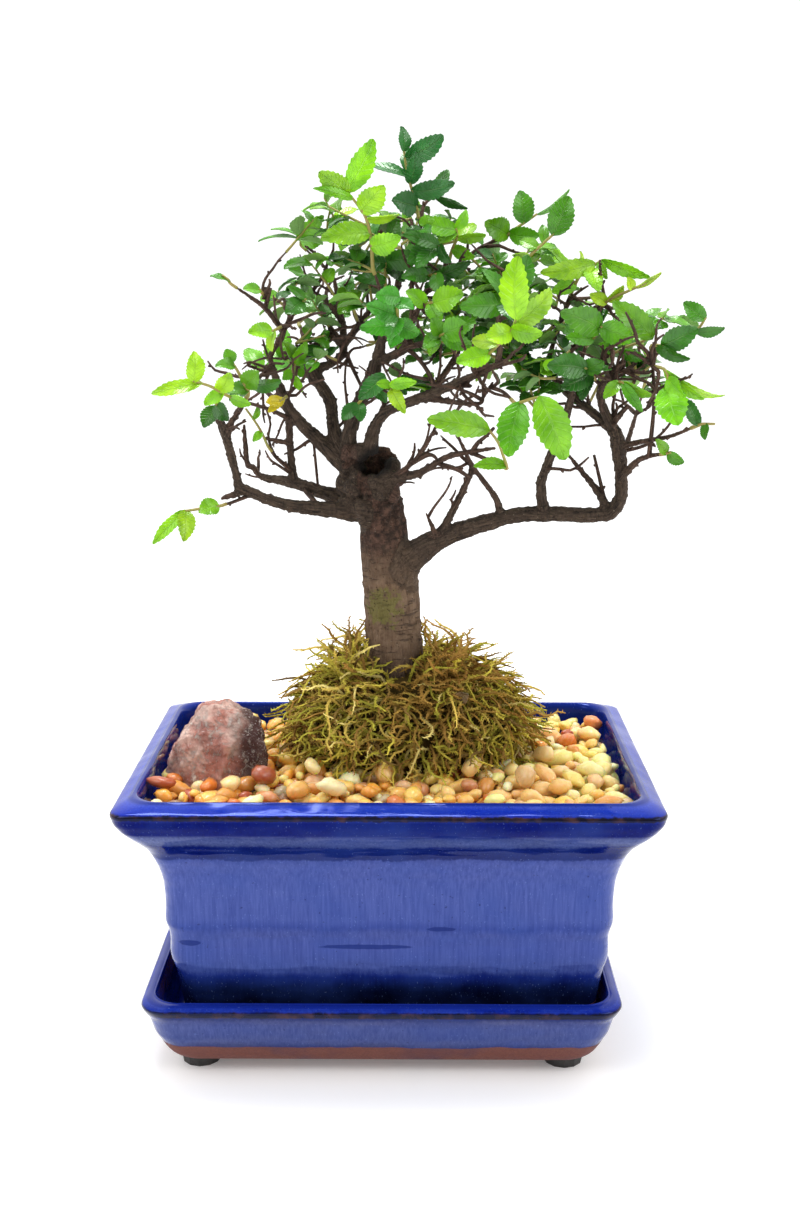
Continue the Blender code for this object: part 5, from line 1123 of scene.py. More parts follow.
# Leafy shoots: colour, wood it grows on, stem as (across, down, depth), then leaves as (place along the
# stem, tip across, tip down, tip nearer or farther, half width, roll), and how many more leaves
SHOOTS = {
    "top": ("dark", "top", [(418, 214, 5), (412, 190, 4), (407, 172, 3), (404, 151, 2)], [
        (1.0, 402, 126, 0, 2.2, 30), (0.9, 444, 136, 0, 3.4, 25), (0.6, 364, 165, 4, 2.3, 50),
        (0.5, 415, 152, -6, 2.6, 10), (0.38, 455, 183, -5, 2.9, 20), (0.12, 388, 201, -4, 3.9, 5)], 1),
    "top_left": ("lime", "leader", [
        (374, 270, -6), (371, 240, -9), (366, 218, -11), (357, 204, -12), (347, 192, -12)], [
        (1.0, 373, 139, 2, 3.6, 10), (0.97, 320, 162, 0, 3.7, 8), (0.9, 309, 190, -4, 1.6, 30),
        (0.72, 384, 186, -3, 3.8, 5), (0.62, 400, 216, 3, 1.7, 40), (0.7, 301, 231, -3, 2.9, 20),
        (0.45, 321, 238, -5, 3.4, 10), (0.3, 400, 237, -6, 3.3, 10)], 1),
    "top_left_low": ("dark", "leader", [(386, 290, 1), (385, 275, 4), (386, 258, 6), (387, 240, 8)], [
        (0.95, 397, 218, 2, 2.8, 20), (0.55, 343, 262, -4, 3.3, 15), (0.6, 421, 256, -4, 3.4, 20),
        (0.2, 354, 279, -4, 2.2, 25)], 2),
    "left_fan": ("mid", "left_tall", [(304, 248, 23), (301, 242, 23), (297, 236, 22)], [
        (1.0, 271, 228, 0, 1.5, 75), (0.7, 258, 238, -2, 1.7, 70), (0.9, 326, 212, -3, 2.7, 20),
        (0.5, 322, 240, -5, 2.3, 20)], 1),
    "left_arrow": ("mid", "tall_left", [(307, 286, 25), (305, 280, 25), (303, 274, 25)], [
        (1.0, 289, 269, -2, 2.0, 50), (0.9, 321, 271, -2, 2.0, 50), (0.4, 282, 286, 1, 1.4, 75),
        (0.3, 324, 303, -4, 2.2, 20)], 0),
    "far_tip": ("dark", "left_far", [(233, 285, -9), (228, 280, -10), (222, 275, -10)], [
        (0.35, 210, 276, -2, 1.7, 70)], 0),
    "far_pair": ("mid", "far_short", [(261, 292, -7), (258, 289, -8)], [
        (0.6, 243, 289, -3, 2.0, 40), (1.0, 252, 280, -2, 1.9, 40)], 0),
    "left_pair": ("lime", "left", [(279, 328, -8), (275, 330, -10), (271, 332, -11)], [
        (0.9, 248, 332, -3, 2.4, 20), (0.7, 264, 350, -3, 2.2, 15)], 0),
    "left_dark": ("dark", "left", [(297, 309, -6), (301, 303, -7), (306, 299, -8)], [
        (0.7, 286, 314, -5, 2.8, 10), (0.9, 282, 292, 0, 1.5, 30), (0.6, 315, 312, -3, 2.4, 15)], 1),
    "left_lime": ("lime", "lime_feed", [(237, 400, -26), (224, 394, -31), (212, 387, -35), (200, 383, -37),
                                        (192, 381, -38)], [
        (0.97, 195, 351, 0, 2.8, 10), (1.0, 180, 357, 3, 1.8, 40), (0.85, 148, 390, -4, 2.4, 35),
        (0.5, 230, 373, -3, 2.6, 20), (0.6, 194, 371, -5, 2.3, 30), (0.4, 204, 404, -2, 2.2, 40),
        (0.2, 250, 405, -3, 1.7, 40)], 0),
    "left_lime_up": ("mid", "low_fork", [
        (248, 394, -19), (243, 381, -22), (237, 370, -23), (232, 362, -23)], [
        (1.0, 226, 349, 0, 1.9, 20), (0.9, 213, 368, -4, 1.9, 30),
        (0.35, 259, 371, -4, 3.0, 10), (0.15, 222, 397, -3, 2.6, 20)], 0),
    "left_shade": ("dark", "left_in", [(254, 383, -7), (250, 388, -10), (245, 392, -13)], [
        (0.2, 281, 379, -5, 2.7, 20), (0.6, 229, 387, -2, 2.2, 30), (0.9, 264, 399, -5, 2.4, 20),
        (1.0, 231, 405, -4, 2.3, 30)], 1),
    "left_under": ("dark", "low", [(219, 411, -18), (217, 407, -21), (216, 403, -23)], [
        (0.4, 204, 428, -3, 2.7, 10), (0.8, 228, 420, -3, 2.4, 15)], 0),
    "low_tip": ("lime", "low_twig", [(222, 505, -14), (205, 508, -16), (192, 510, -18), (184, 511, -18)], [
        (0.1, 199, 512, -3, 2.9, 5), (1.0, 152, 544, -3, 2.0, 15), (0.97, 176, 547, -4, 3.1, 10)], 0),
    "thin_lime": ("lime", "middle_in", [(269, 448, 10), (262, 433, 8), (254, 420, 5), (246, 409, 1)], [
        (0.35, 253, 441, -2, 1.3, 20), (0.7, 258, 405, -2, 1.2, 30)], 0),
    "yellow": ("lime", "left", [(286, 397, -1), (283, 399, -5), (280, 401, -8)], [
        (0.9, 266, 403, -2, 2.0, 10), (0.5, 268, 411, -5, 1.6, 20)], 0),
    "hanging": ("lime", "knot_left", [(297, 359, 10), (293, 368, 6), (292, 376, 4), (294, 384, 2)], [
        (0.1, 283, 341, -2, 2.1, 20), (0.25, 307, 343, -3, 2.1, 20), (0.6, 281, 381, -3, 1.9, 15),
        (0.75, 308, 389, -3, 2.0, 15), (1.0, 293, 409, -2, 1.6, 20)], 0),
    "inner_left": ("mid", "tall_right", [(357, 319, 13), (354, 310, 10), (350, 300, 8), (346, 291, 7)], [
        (1.0, 337, 299, -2, 2.2, 10), (0.6, 338, 314, -3, 2.3, 20), (0.8, 361, 291, -2, 2.0, 20),
        (1.0, 345, 274, 0, 2.2, 20)], 1),
    "gloss": ("lime", "cross", [
        (402, 340, -14), (400, 331, -24), (398, 318, -31), (397, 306, -34), (399, 297, -35)], [
        (1.0, 376, 295, -3, 2.7, 15), (0.95, 421, 297, -3, 2.6, 15), (0.75, 367, 305, -5, 3.2, 10),
        (0.5, 360, 328, -3, 2.8, 15), (0.45, 390, 345, -5, 2.8, 10), (0.6, 420, 334, -3, 2.9, 15)], 1),
    "blue_leaf": ("dark", "leader", [(355, 408, -1), (363, 398, -6), (374, 386, -8), (384, 375, -9)], [
        (1.0, 359, 400, -4, 2.9, 10), (0.75, 386, 402, -3, 2.0, 20), (0.1, 342, 420, -2, 2.3, 15),
        (0.2, 361, 421, -3, 2.2, 15)], 0),
    "bent": ("lime", "stump", [(394, 396, -9), (392, 390, -13), (390, 385, -15)], [
        (1.0, 417, 382, -3, 1.8, 20), (0.9, 376, 381, -2, 1.7, 20), (0.7, 411, 412, -6, 2.3, 15)], 0),
    "crown_mid": ("dark", "top", [(430, 249, 0), (435, 247, -4), (440, 246, -8)], [
        (0.9, 403, 234, -4, 2.3, 20), (0.3, 407, 263, -6, 2.8, 15), (1.0, 452, 262, -3, 2.2, 30)], 1),
    "crown_lime": ("lime", "top_right", [(449, 262, 4), (452, 250, -1), (457, 238, -4), (456, 228, -5)], [
        (1.0, 467, 210, 0, 1.9, 30), (0.95, 418, 221, -3, 3.1, 10), (0.8, 486, 235, 2, 1.8, 35),
        (0.5, 474, 258, -3, 2.2, 20), (0.9, 438, 241, -4, 2.5, 15)], 1),
    "arch": ("dark", "top_side", [(431, 197, 10), (436, 195, 10)], [
        (0.7, 468, 208, -1, 1.8, 50), (1.0, 474, 195, 3, 1.5, 50), (0.4, 449, 169, 3, 2.0, 20)], 1),
    "crown_dark": ("dark", "top", [(424, 277, 0), (431, 275, -5), (437, 274, -8)], [
        (0.7, 471, 261, -5, 2.1, 25), (0.9, 441, 293, -5, 2.4, 20), (0.4, 402, 277, -6, 2.6, 20)], 2),
    "right_top": ("mid", "top_right", [(503, 237, 17), (515, 229, 17), (527, 221, 17), (537, 214, 17)], [
        (0.62, 521, 190, 0, 3.5, 5), (1.0, 569, 189, 4, 1.3, 60), (0.2, 540, 236, -5, 2.8, 10),
        (0.12, 485, 211, -3, 4.2, 5), (0.1, 482, 250, -3, 1.3, 50)], 0),
    "right_top_b": ("mid", "mid_right", [(524, 262, -5), (536, 250, -5), (547, 240, -5), (557, 231, -5)], [
        (0.88, 569, 196, 0, 3.8, 8), (0.45, 520, 240, 4, 2.0, 30),
        (0.6, 543, 225, 4, 1.6, 20)], 0),
    "front_lime": ("lime", "stump", [
        (477, 366, -28), (487, 356, -32), (498, 345, -36), (510, 333, -40), (516, 319, -43)], [
        (1.0, 519, 256, 0, 4.0, 8), (0.8, 486, 339, -3, 3.2, 15), (0.3, 456, 362, -3, 3.0, 15),
        (0.92, 559, 288, 3, 3.7, 20), (0.85, 546, 332, -3, 3.0, 15), (0.5, 472, 343, 4, 2.4, 30)], 0),
    "front_shade": ("dark", "mid_right", [(505, 309, -17), (508, 300, -21), (513, 290, -23)], [
        (1.0, 528, 255, -3, 3.6, 15), (0.2, 459, 306, -5, 3.6, 15), (0.6, 483, 268, 2, 2.4, 30)], 3),
    "round_lime": ("lime", "top", [(422, 307, -8), (428, 304, -13), (434, 302, -16)], [
        (1.0, 463, 293, -3, 3.7, 5), (0.4, 406, 291, -3, 2.6, 20), (0.7, 440, 325, -3, 2.4, 15)], 1),
    "round_mid": ("mid", "cross", [(434, 340, -16), (440, 336, -20), (445, 333, -22)], [
        (1.0, 468, 325, -3, 3.6, 5), (0.6, 432, 318, -2, 2.3, 15), (0.8, 474, 349, -3, 2.8, 15),
        (0.3, 430, 356, -3, 2.0, 20)], 3),
    "pair_front": ("mid", "stump_hang", [
        (514, 402, -33), (522, 402, -36), (531, 399, -39), (540, 397, -41)], [
        (0.3, 508, 457, -3, 4.4, 5), (1.0, 565, 460, -3, 4.9, 5)], 0),
    "bud": ("lime", "front_bud", [(505, 467, -25), (503, 455, -29), (498, 442, -32), (489, 430, -35)], [
        (1.0, 427, 419, -3, 3.7, 10), (0.12, 474, 466, -3, 1.9, 15)], 0),
    "right_big": ("mid", "right_back", [(588, 345, -8), (594, 338, -13), (599, 331, -17), (602, 326, -19)], [
        (0.85, 561, 312, -8, 4.2, 5), (0.95, 632, 341, -3, 3.5, 10), (0.4, 566, 337, -3, 2.4, 15)], 0),
    "right_long": ("mid", "right_up", [(609, 356, -13), (624, 348, -13), (640, 342, -14), (652, 338, -15)], [
        (1.0, 613, 302, -3, 3.6, 10), (0.25, 646, 361, -4, 2.0, 25), (0.1, 598, 344, -2, 1.8, 30)], 0),
    "right_tip": ("dark", "elbow_up", [
        (653, 349, -18), (668, 346, -19), (686, 341, -20), (699, 328, -20), (706, 317, -20)], [
        (0.2, 698, 329, -4, 3.4, 10), (0.97, 684, 302, 0, 2.5, 10), (0.75, 725, 328, 0, 1.7, 15),
        (0.1, 697, 357, -2, 2.0, 20)], 0),
    "right_yellow": ("lime", "right_back", [(603, 306, -3), (610, 299, -6), (626, 292, -8), (646, 283, -9)], [
        (0.2, 624, 286, -2, 1.9, 30), (0.72, 628, 277, -1, 1.5, 20), (0.8, 661, 272, 0, 1.2, 55),
        (0.1, 590, 294, -2, 1.9, 20)], 0),
    "right_lime": ("lime", "shade_b", [(572, 292, 4), (579, 277, 0), (589, 268, -3), (602, 260, -4)], [
        (0.85, 540, 272, -4, 2.9, 15), (1.0, 650, 277, -3, 2.0, 25), (0.95, 607, 279, -2, 1.6, 15),
        (0.3, 547, 244, 3, 1.7, 50), (0.5, 580, 251, 2, 1.5, 50), (0.2, 552, 292, -3, 2.4, 15)], 1),
    "right_droop": ("lime", "elbow_up", [
        (656, 367, -20), (664, 369, -22), (668, 378, -23), (666, 388, -23)], [
        (0.4, 704, 400, -1, 1.9, 25), (0.3, 728, 408, 1, 1.9, 25), (0.7, 684, 397, -4, 2.6, 15),
        (1.0, 680, 428, -3, 4.9, 5)], 0),
    "right_end": ("dark", "far_right", [(695, 427, -20), (703, 424, -21), (715, 424, -21)], [
        (0.2, 681, 396, 1, 2.3, 25), (0.55, 705, 440, -1, 1.4, 10)], 0),
    "right_low": ("mid", "elbow", [(664, 454, -16), (668, 453, -17), (671, 452, -18)], [
        (0.6, 684, 463, -1, 1.9, 20), (0.3, 657, 436, -2, 1.8, 20)], 0),
    "right_mid": ("mid", "right_up", [(616, 383, -15), (620, 382, -19), (624, 383, -21)], [
        (0.8, 655, 397, -2, 2.1, 35), (0.5, 604, 398, -3, 2.0, 20), (0.9, 642, 412, -2, 1.7, 20)], 0),
    "right_mass": ("dark", "right_up", [(594, 378, -14), (590, 372, -18), (585, 368, -21)], [
        (0.9, 547, 366, -3, 3.7, 10), (0.5, 562, 388, -3, 3.2, 10), (0.8, 602, 352, -3, 3.0, 15)], 3),
    "back_top": ("mid", "shade_a", [(403, 271, 25), (406, 250, 29), (414, 232, 33), (420, 214, 36)], [], 8),
    "back_middle": ("dark", "shade_d", [
        (469, 328, 28), (478, 306, 32), (490, 286, 35), (500, 268, 37)], [], 8),
    "back_right": ("mid", "shade_e", [(643, 393, 25), (647, 370, 29), (644, 348, 32), (638, 330, 34)], [], 7),
    "back_left": ("dark", "shade_c", [(300, 323, 34), (314, 312, 37), (330, 303, 39), (348, 296, 40)], [], 7),
    "back_low": ("mid", "shade_f", [(254, 377, 30), (264, 367, 33), (277, 361, 35), (290, 358, 36)], [], 6),
}

# %% [markdown]
# ## Paths of the tree
# Trunk, branches, the twigs that carry the shoots and the young stems all become paths with a radius at
# each point.

# %% Paths
GAP = 0.3
TRUNK_END = 50.0
TRUNK = [
    (Vector((ROOT.x, ROOT.y, TRUNK_END)), 8.8), (Vector((ROOT.x, ROOT.y, 100.0)), 9.1),
    (seen(392, 600, 8), 8.6), (seen(390, 574, 8), 8.6), (seen(385.5, 550, 8), 7.7),
    (seen(382.5, 523, 8), 7.1), (seen(376, 490, 8), 7.3), (seen(368, 448, 8), 7.7),
]


def branch_paths():
    """Every woody tube as (sides, points, radii)."""
    tubes = {"trunk": (10, [point for point, _ in TRUNK], [radius for _, radius in TRUNK])}
    for name, (sides, points) in WOOD.items():
        tubes[name] = (sides, [seen(*p[:3]) for p in points], [p[3] for p in points])
    return tubes


def nearest_on(path, target):
    """The closest point to the target on a path."""
    best = None
    for a, b in zip(path, path[1:]):
        t = max(0.0, min(1.0, (target - a).dot(b - a) / (b - a).length_squared))
        point = a.lerp(b, t)
        if best is None or (point - target).length < (best - target).length:
            best = point
    return best


def plan_stems(tubes):
    """Each shoot's stem, and the twig that carries it where the wood doesn't already end there."""
    stems = {}
    twigs = {}
    for name, (_, parent, points, _, _) in SHOOTS.items():
        path = [seen(*p) for p in points]
        wood = tubes[parent][1]
        radius = 0.62
        end_way = (wood[-1] - wood[-2]).normalized()
        if (wood[-1] - path[0]).length < 3.0:
            start = wood[-1] + end_way * GAP
            path = [start, start + end_way * 1.0] + path[1:]
            radius = min(0.75, tubes[parent][2][-1])
        else:
            way = (path[1] - path[0]).normalized()
            end = path[0] - way * GAP
            foot = nearest_on(wood, end - way * 3.0)
            bend = end - way * min(2.5, 0.4 * (end - foot).length)
            twigs["twig_" + name] = (3, [foot, bend, end], [0.95, 0.75, radius])
        count = len(path)
        radii = [radius + (0.42 - radius) * i / (count - 1) for i in range(count)]
        stems[name] = (3, path, radii)
    return stems, twigs


def along(path, share):
    """The point at this share of a path's length, and the way the path runs there."""
    lengths = [(b - a).length for a, b in zip(path, path[1:])]
    left = share * sum(lengths)
    for a, b, length in zip(path, path[1:], lengths):
        if left <= length:
            return a.lerp(b, left / length), (b - a).normalized()
        left -= length
    return path[-1].copy(), (path[-1] - path[-2]).normalized()


tubes = branch_paths()
stems, twigs = plan_stems(tubes)
tubes.update(twigs)
print("branches", len(tubes), "stems", len(stems))

# %% [markdown]
# ## The trunk and its hollow
# The trunk was cut off above its branches, and the cut has rotted to a hollow that faces forwards. The
# trunk's loft simply runs on over the slanted rim and down into it, which needs no Boolean.

# %% Trunk
TRUNK_SIDES = 28
# (height above the middle of the cut, radius, slope) of each ring, over the rim and down
CUT_RINGS = (
    (-4.0, 7.5, 0.3), (-1.5, 7.6, 0.55), (0.0, 7.0, 0.68), (0.2, 6.2, 0.7), (-0.8, 5.4, 0.62),
    (-4.0, 5.0, 0.45), (-7.5, 4.2, 0.2), (-9.0, 2.5, 0.0),
)


def fine_path(path, radii, steps):
    """The path and its radii, smoothed."""
    rows = smooth_line([(*p, r) for p, r in zip(path, radii)], steps)
    return [Vector(row[:3]) for row in rows], [float(row[3]) for row in rows]


def trunk_mesh(path, radii):
    """The trunk, cut off at a slant that faces forwards, with a rotten hollow in the cut."""
    rings = tube_rings(path, radii, TRUNK_SIDES)
    kept = [ring for ring, point in zip(rings, path) if pictured(point)[1] > 492]
    top = seen(374, 462, 8)
    for lift, radius, slope in CUT_RINGS:
        ring = []
        for k in range(TRUNK_SIDES):
            turn = 2 * math.pi * k / TRUNK_SIDES
            rim = 0.9 * noise.noise((2.2 * math.cos(turn), 2.2 * math.sin(turn), 4.0))
            x = (radius + 0.4 * rim) * math.cos(turn)
            y = (radius + 0.4 * rim) * math.sin(turn)
            ring.append(top + Vector((x, y, lift + slope * y + rim)))
        start = min(range(TRUNK_SIDES), key=lambda n: (ring[n] - kept[-1][0]).length)
        kept.append(ring[start:] + ring[:start])
    return loft_mesh("trunk", kept)

# %% [markdown]
# ## Spurs
# Elm twigs are knobbly: a small spur stays wherever a leaf or a twig once sat, on one side and then on the
# other. Each spur is a short loft, placed by a seeded rule.

# %% Spurs
def spur_meshes(paths, pick):
    """Small knobs on alternating sides of the thinner branches."""
    made = []
    for path, radii in paths:
        travelled = pick.uniform(2, 5)
        turn = pick.uniform(0, 6.28)
        for a, b, r in zip(path, path[1:], radii):
            travelled -= (b - a).length
            if travelled > 0 or r > 2.4:
                continue
            travelled = pick.uniform(2.4, 5.5)
            turn += math.pi + pick.uniform(-0.6, 0.6)
            way = (b - a).normalized()
            out = Quaternion(way, turn) @ way.orthogonal().normalized()
            ahead = (out + way * 0.6).normalized()
            size = pick.uniform(0.5, 1.0) * (0.6 + 0.4 * min(1.0, r))
            knob = [a + ahead * (r * 0.4), a + ahead * (r + 0.5 * size), a + ahead * (r + 1.1 * size)]
            made.append(loft_mesh("spur", tube_rings(knob, [0.55 * size + 0.1, 0.5 * size + 0.05, 0.2], 6)))
    return made

# %% [markdown]
# ## Limbs melted into one skin
# On the real tree a branch flows into the trunk through a swollen collar. Trunk, limbs, burrs and spurs are
# therefore melted into one skin by a voxel remesh. The thinnest twigs would vanish in that, so they come in
# the next step.

# %% Limbs
MORE_BURRS = [
    (361, 452, 6, 3.0), (393, 466, 6, 2.6), (366, 520, 3, 2.6), (399, 590, 2, 2.0), (377, 496, 1, 2.4),
    (347, 470, 8, 2.6), (353, 488, 3, 3.0), (372, 482, 2, 2.6), (393, 494, 3, 2.4), (360, 507, 2, 2.8),
    (386, 509, 2, 2.4), (398, 480, 5, 2.2), (346, 503, 5, 2.6), (368, 494, 1, 1.6), (382, 488, 1, 1.5),
    (356, 476, 3, 2.0),
]
IN_THE_HOLLOW = (384, 462)
# The plain solids' limbs are stout. Past its foot each limb here has this share of their radius.
SLIMMER = {
    "trunk": 1.0, "right": 1.05, "riser_c": 0.9, "riser_d": 0.75, "low": 0.92, "middle": 0.88,
    "middle_up": 0.85, "left": 0.65, "left_tall": 0.65, "leader": 0.62, "knot": 0.74, "stump": 0.7,
    "cross": 0.7, "front": 0.72, "right_back": 0.8, "right_up": 0.8,
}
OTHERS = 0.64
THINNEST = 0.42


def melted(name, meshes, voxel, rounds, kept_share):
    """The meshes melted into one skin, with this share of its faces."""
    lump = bpy.data.objects.new(name, merged(name, meshes))
    scene.collection.objects.link(lump)
    skin = lump.modifiers.new("skin", "REMESH")
    skin.mode = "VOXEL"
    skin.voxel_size = voxel
    soften = lump.modifiers.new("soften", "SMOOTH")
    soften.factor = 0.5
    soften.iterations = rounds
    lump.modifiers.new("thin_out", "DECIMATE").ratio = kept_share
    mesh = bpy.data.meshes.new_from_object(lump.evaluated_get(bpy.context.evaluated_depsgraph_get()))
    old = lump.data
    bpy.data.objects.remove(lump)
    bpy.data.meshes.remove(old)
    return mesh


knobs = random.Random(41)
fine = {}
for key, (_, path, radii) in tubes.items():
    share = SLIMMER.get(key, OTHERS)
    slim = [r * (share + (1.0 - share) * max(0.0, 0.5 - 0.3 * i)) for i, r in enumerate(radii)]
    fine[key] = fine_path(path, [max(THINNEST, r) for r in slim], 5)
thick_keys = [key for key, (path, radii) in fine.items() if key != "trunk" and max(radii) > 0.95]
thin_keys = [key for key in fine if key != "trunk" and key not in thick_keys]
limb_meshes = [trunk_mesh(*fine["trunk"])]
for key in thick_keys:
    path, radii = fine[key]
    rounded = radii[:-1] + [radii[-1] * 0.8]
    limb_meshes.append(loft_mesh(key, tube_rings(path, rounded, 14 if radii[0] > 3 else 9)))
limb_meshes += spur_meshes([fine[key] for key in thick_keys], knobs)
for across, down, depth, radius in BURRS + MORE_BURRS:
    if (across, down) == IN_THE_HOLLOW:
        continue
    bm = bmesh.new()
    spot = Matrix.Translation(seen(across, down, depth))
    bmesh.ops.create_icosphere(bm, subdivisions=3, radius=radius, matrix=spot)
    limb_meshes.append(mesh_from("burr", bm))
wood_mesh = melted("skin", limb_meshes, 0.44, 2, 0.66)
print("melted skin", len(wood_mesh.polygons), "faces")

# %% [markdown]
# ## Bare twigs
# The crown is full of fine, bare, zigzag twigs. Their number and feel matter more than each one's place, so
# seeded ones start on the limbs and wander up and out, inside the crown's outline.

# %% Bare twigs
TRIES = 230
TAPER = (0.62, 0.5, 0.45, 0.4, 0.36, 0.24)


def in_crown(point):
    """Whether the front view shows the point inside the crown."""
    across, down = pictured(point)
    return 205 <= down <= 490 and (across >= 262 or down >= 345)


bare = [loft_mesh(key, tube_rings(*fine[key], 7)) for key in thin_keys]
parents = [key for key in fine if key != "trunk" and fine[key][1][0] > 0.6]
high_parents = [key for key in parents if pictured(fine[key][0][-1])[1] < 400]
for n in range(TRIES):
    path, radii = fine[knobs.choice(parents if n % 2 else high_parents)]
    at = knobs.randrange(1, len(path) - 1)
    way = (path[at + 1] - path[at]).normalized()
    out = Quaternion(way, knobs.uniform(0, 6.28)) @ way.orthogonal().normalized()
    heading = (out + way * 0.5 + Vector((0, -0.1, 0.3))).normalized()
    points = [path[at].copy()]
    length = knobs.uniform(6.0, 20.0)
    for step in range(5):
        swing = Vector((knobs.gauss(0, 0.28), knobs.gauss(0, 0.28), knobs.gauss(0, 0.22)))
        heading = (heading + swing).normalized()
        points.append(points[-1] + heading * (length / 5))
    if not in_crown(points[-1]):
        continue
    thickness = knobs.uniform(0.75, 1.15)
    fine["bare_%d" % n] = fine_path(points, [thickness * r for r in TAPER], 2)
    bare.append(loft_mesh("bare", tube_rings(*fine["bare_%d" % n], 6)))
bare += spur_meshes([fine[key] for key in fine if key in thin_keys or key.startswith("bare_")], knobs)
bare_mesh = merged("bare_twigs", bare)
print("bare twigs", len(bare_mesh.polygons), "faces")

# %% [markdown]
# ## Grain of the bark
# Each point of the skin looks up the nearest path. It learns how far along the limb it lies, on which side,
# and how thick the limb is, so the bark's fibres can follow the limb.

# %% Grain
samples = []
for key, (path, radii) in fine.items():
    travelled = 0.0
    side = (path[1] - path[0]).orthogonal().normalized()
    for i, point in enumerate(path[:-1]):
        span = path[i + 1] - point
        cuts = max(1, int(span.length / 0.8))
        for k in range(cuts):
            t = k / cuts
            far = travelled + span.length * t
            samples.append((point + span * t, span.normalized(), side, far, radii[i], key))
        travelled += span.length
tree_of_paths = KDTree(len(samples))
for i, sample in enumerate(samples):
    tree_of_paths.insert(sample[0], i)
tree_of_paths.balance()


# (row of the front view, height) of the rings that cross the trunk
TRUNK_RIDGES = ((583, 0.5), (624, 0.6), (632, -0.4), (672, 0.7), (604, 0.3))


def roughness_of_bark(point, off, travelled, radius, side, other, on_trunk):
    """How far the bark stands proud at a point, in millimetres."""
    rough = 0.30 * noise.noise(point * 0.8) + 0.22 * noise.noise(point * 2.1)
    if radius > 2.0:
        rough += 0.3 * noise.noise(point * 0.35)
        rough += 0.22 * noise.noise(Vector((off.dot(side) * 0.8, off.dot(other) * 0.8, travelled * 0.1)))
    if on_trunk:
        _, down = pictured(point)
        for ridge, strength in TRUNK_RIDGES:
            shake = 4.0 * noise.noise(Vector((point.x * 0.2, point.y * 0.2, ridge)))
            rough += strength * math.exp(-(((down + shake - ridge) / 2.6) ** 2))
        if down < 525:
            rough += 0.8 * noise.noise(point * 0.5) + 0.45 * noise.noise(point * 1.2)
    return rough * min(1.0, radius / 1.3)


def grained(mesh, shake):
    """Marks every point with its place along the limb and the limb's girth, and roughens the skin."""
    count = len(mesh.vertices)
    spots = np.empty(count * 3)
    mesh.vertices.foreach_get("co", spots)
    spots = spots.reshape(-1, 3)
    grain = np.empty((count, 3))
    girth = np.empty(count)
    for i in range(count):
        point = Vector(spots[i])
        near = tree_of_paths.find_n(point, 4)
        _, best, _ = min(near, key=lambda hit: hit[2] - samples[hit[1]][4])
        middle, way, side, travelled, radius, key = samples[best]
        off = point - middle
        other = way.cross(side)
        grain[i] = (off.dot(side), off.dot(other), travelled + off.dot(way) + 40.0 * len(key))
        girth[i] = radius
        rough = roughness_of_bark(point, off, travelled, radius, side, other, key == "trunk")
        spots[i] = point + off.normalized() * rough * shake
    mesh.vertices.foreach_set("co", spots.reshape(-1))
    mesh.attributes.new("grain", "FLOAT_VECTOR", "POINT").data.foreach_set("vector", grain.reshape(-1))
    mesh.attributes.new("girth", "FLOAT", "POINT").data.foreach_set("value", girth)
    for face in mesh.polygons:
        face.use_smooth = True
    mesh.update()
    print(mesh.name, "girth from", round(float(girth.min()), 2), "to", round(float(girth.max()), 2))


grained(wood_mesh, 1.0)
grained(bare_mesh, 0.4)

# %% [markdown]
# ## The bark's finish
# Old bark is grey-brown with fine fibres and rings, young bark is redder, and the bark near the hollow is
# dark and cracked. The inside of the hollow is painted near black, for its rot and as painted shade. Lichen
# grows on the front of the trunk. The limb's girth chooses between old and young.

# %% Bark finish
bark = Finish("elm_bark_fissured", **{"Specular IOR Level": 0.3})
along_grain = bark.attribute("grain", "Vector")
thick = bark.attribute("girth")


def bark_noise(scale, detail, rough=0.6):
    place = bark.add("ShaderNodeMapping", "Vector", {"Vector": along_grain, "Scale": scale})
    inputs = {"Vector": place, "Scale": 1.0, "Detail": detail, "Roughness": rough}
    return bark.add("ShaderNodeTexNoise", "Fac", inputs)


fibres = bark_noise((1.9, 1.9, 0.22), 5.0, 0.65)
cross_rings = bark_noise((0.16, 0.16, 1.3), 3.0)
mottle = bark_noise((0.45, 0.45, 0.3), 5.0)
old = bark.mix(bark.ramp(fibres, [(0.30, 0.0), (0.70, 1.0)]), (0.100, 0.060, 0.036), (0.195, 0.120, 0.072))
old = bark.mix(bark.ramp(mottle, [(0.40, 0.0), (0.66, 0.8)]), old, (0.25, 0.165, 0.105))
old = bark.mix(bark.ramp(cross_rings, [(0.60, 0.0), (0.66, 0.6)]), old, (0.05, 0.034, 0.024))
crisp = bark.ramp(fibres, [(0.35, 0.0), (0.65, 1.0)])
middling = bark.mix(crisp, (0.013, 0.009, 0.007), (0.110, 0.074, 0.050))
young = bark.mix(crisp, (0.030, 0.015, 0.011), (0.14, 0.078, 0.054))
wood_colour = bark.mix(bark.ramp(thick, [(0.72, 0.0), (1.28, 1.0)], top=8.0), young, middling)
wood_colour = bark.mix(bark.ramp(thick, [(4.4, 0.0), (6.8, 1.0)], top=8.0), wood_colour, old)
height = bark.along("Z")
blotch = bark.ramp(bark.noise(0.14, 4.0, 0.6), [(0.45, 0.0), (0.68, 1.0)])
wood_colour = bark.mix(bark.sum("MULTIPLY", blotch, 0.45), wood_colour, (0.07, 0.046, 0.032))
loose_height = bark.sum("ADD", height, bark.sum("MULTIPLY", bark.noise(0.12, 4.0), 16.0))
near_cut = bark.ramp(loose_height, [(151, 0.0), (162, 0.9)], top=200.0)
near_cut = bark.sum("MULTIPLY", near_cut, bark.ramp(thick, [(5.5, 0.0), (6.8, 1.0)], top=10.0))
cracks = bark.ramp(bark.noise(0.55, 4.0, 0.7), [(0.42, 0.0), (0.62, 1.0)])
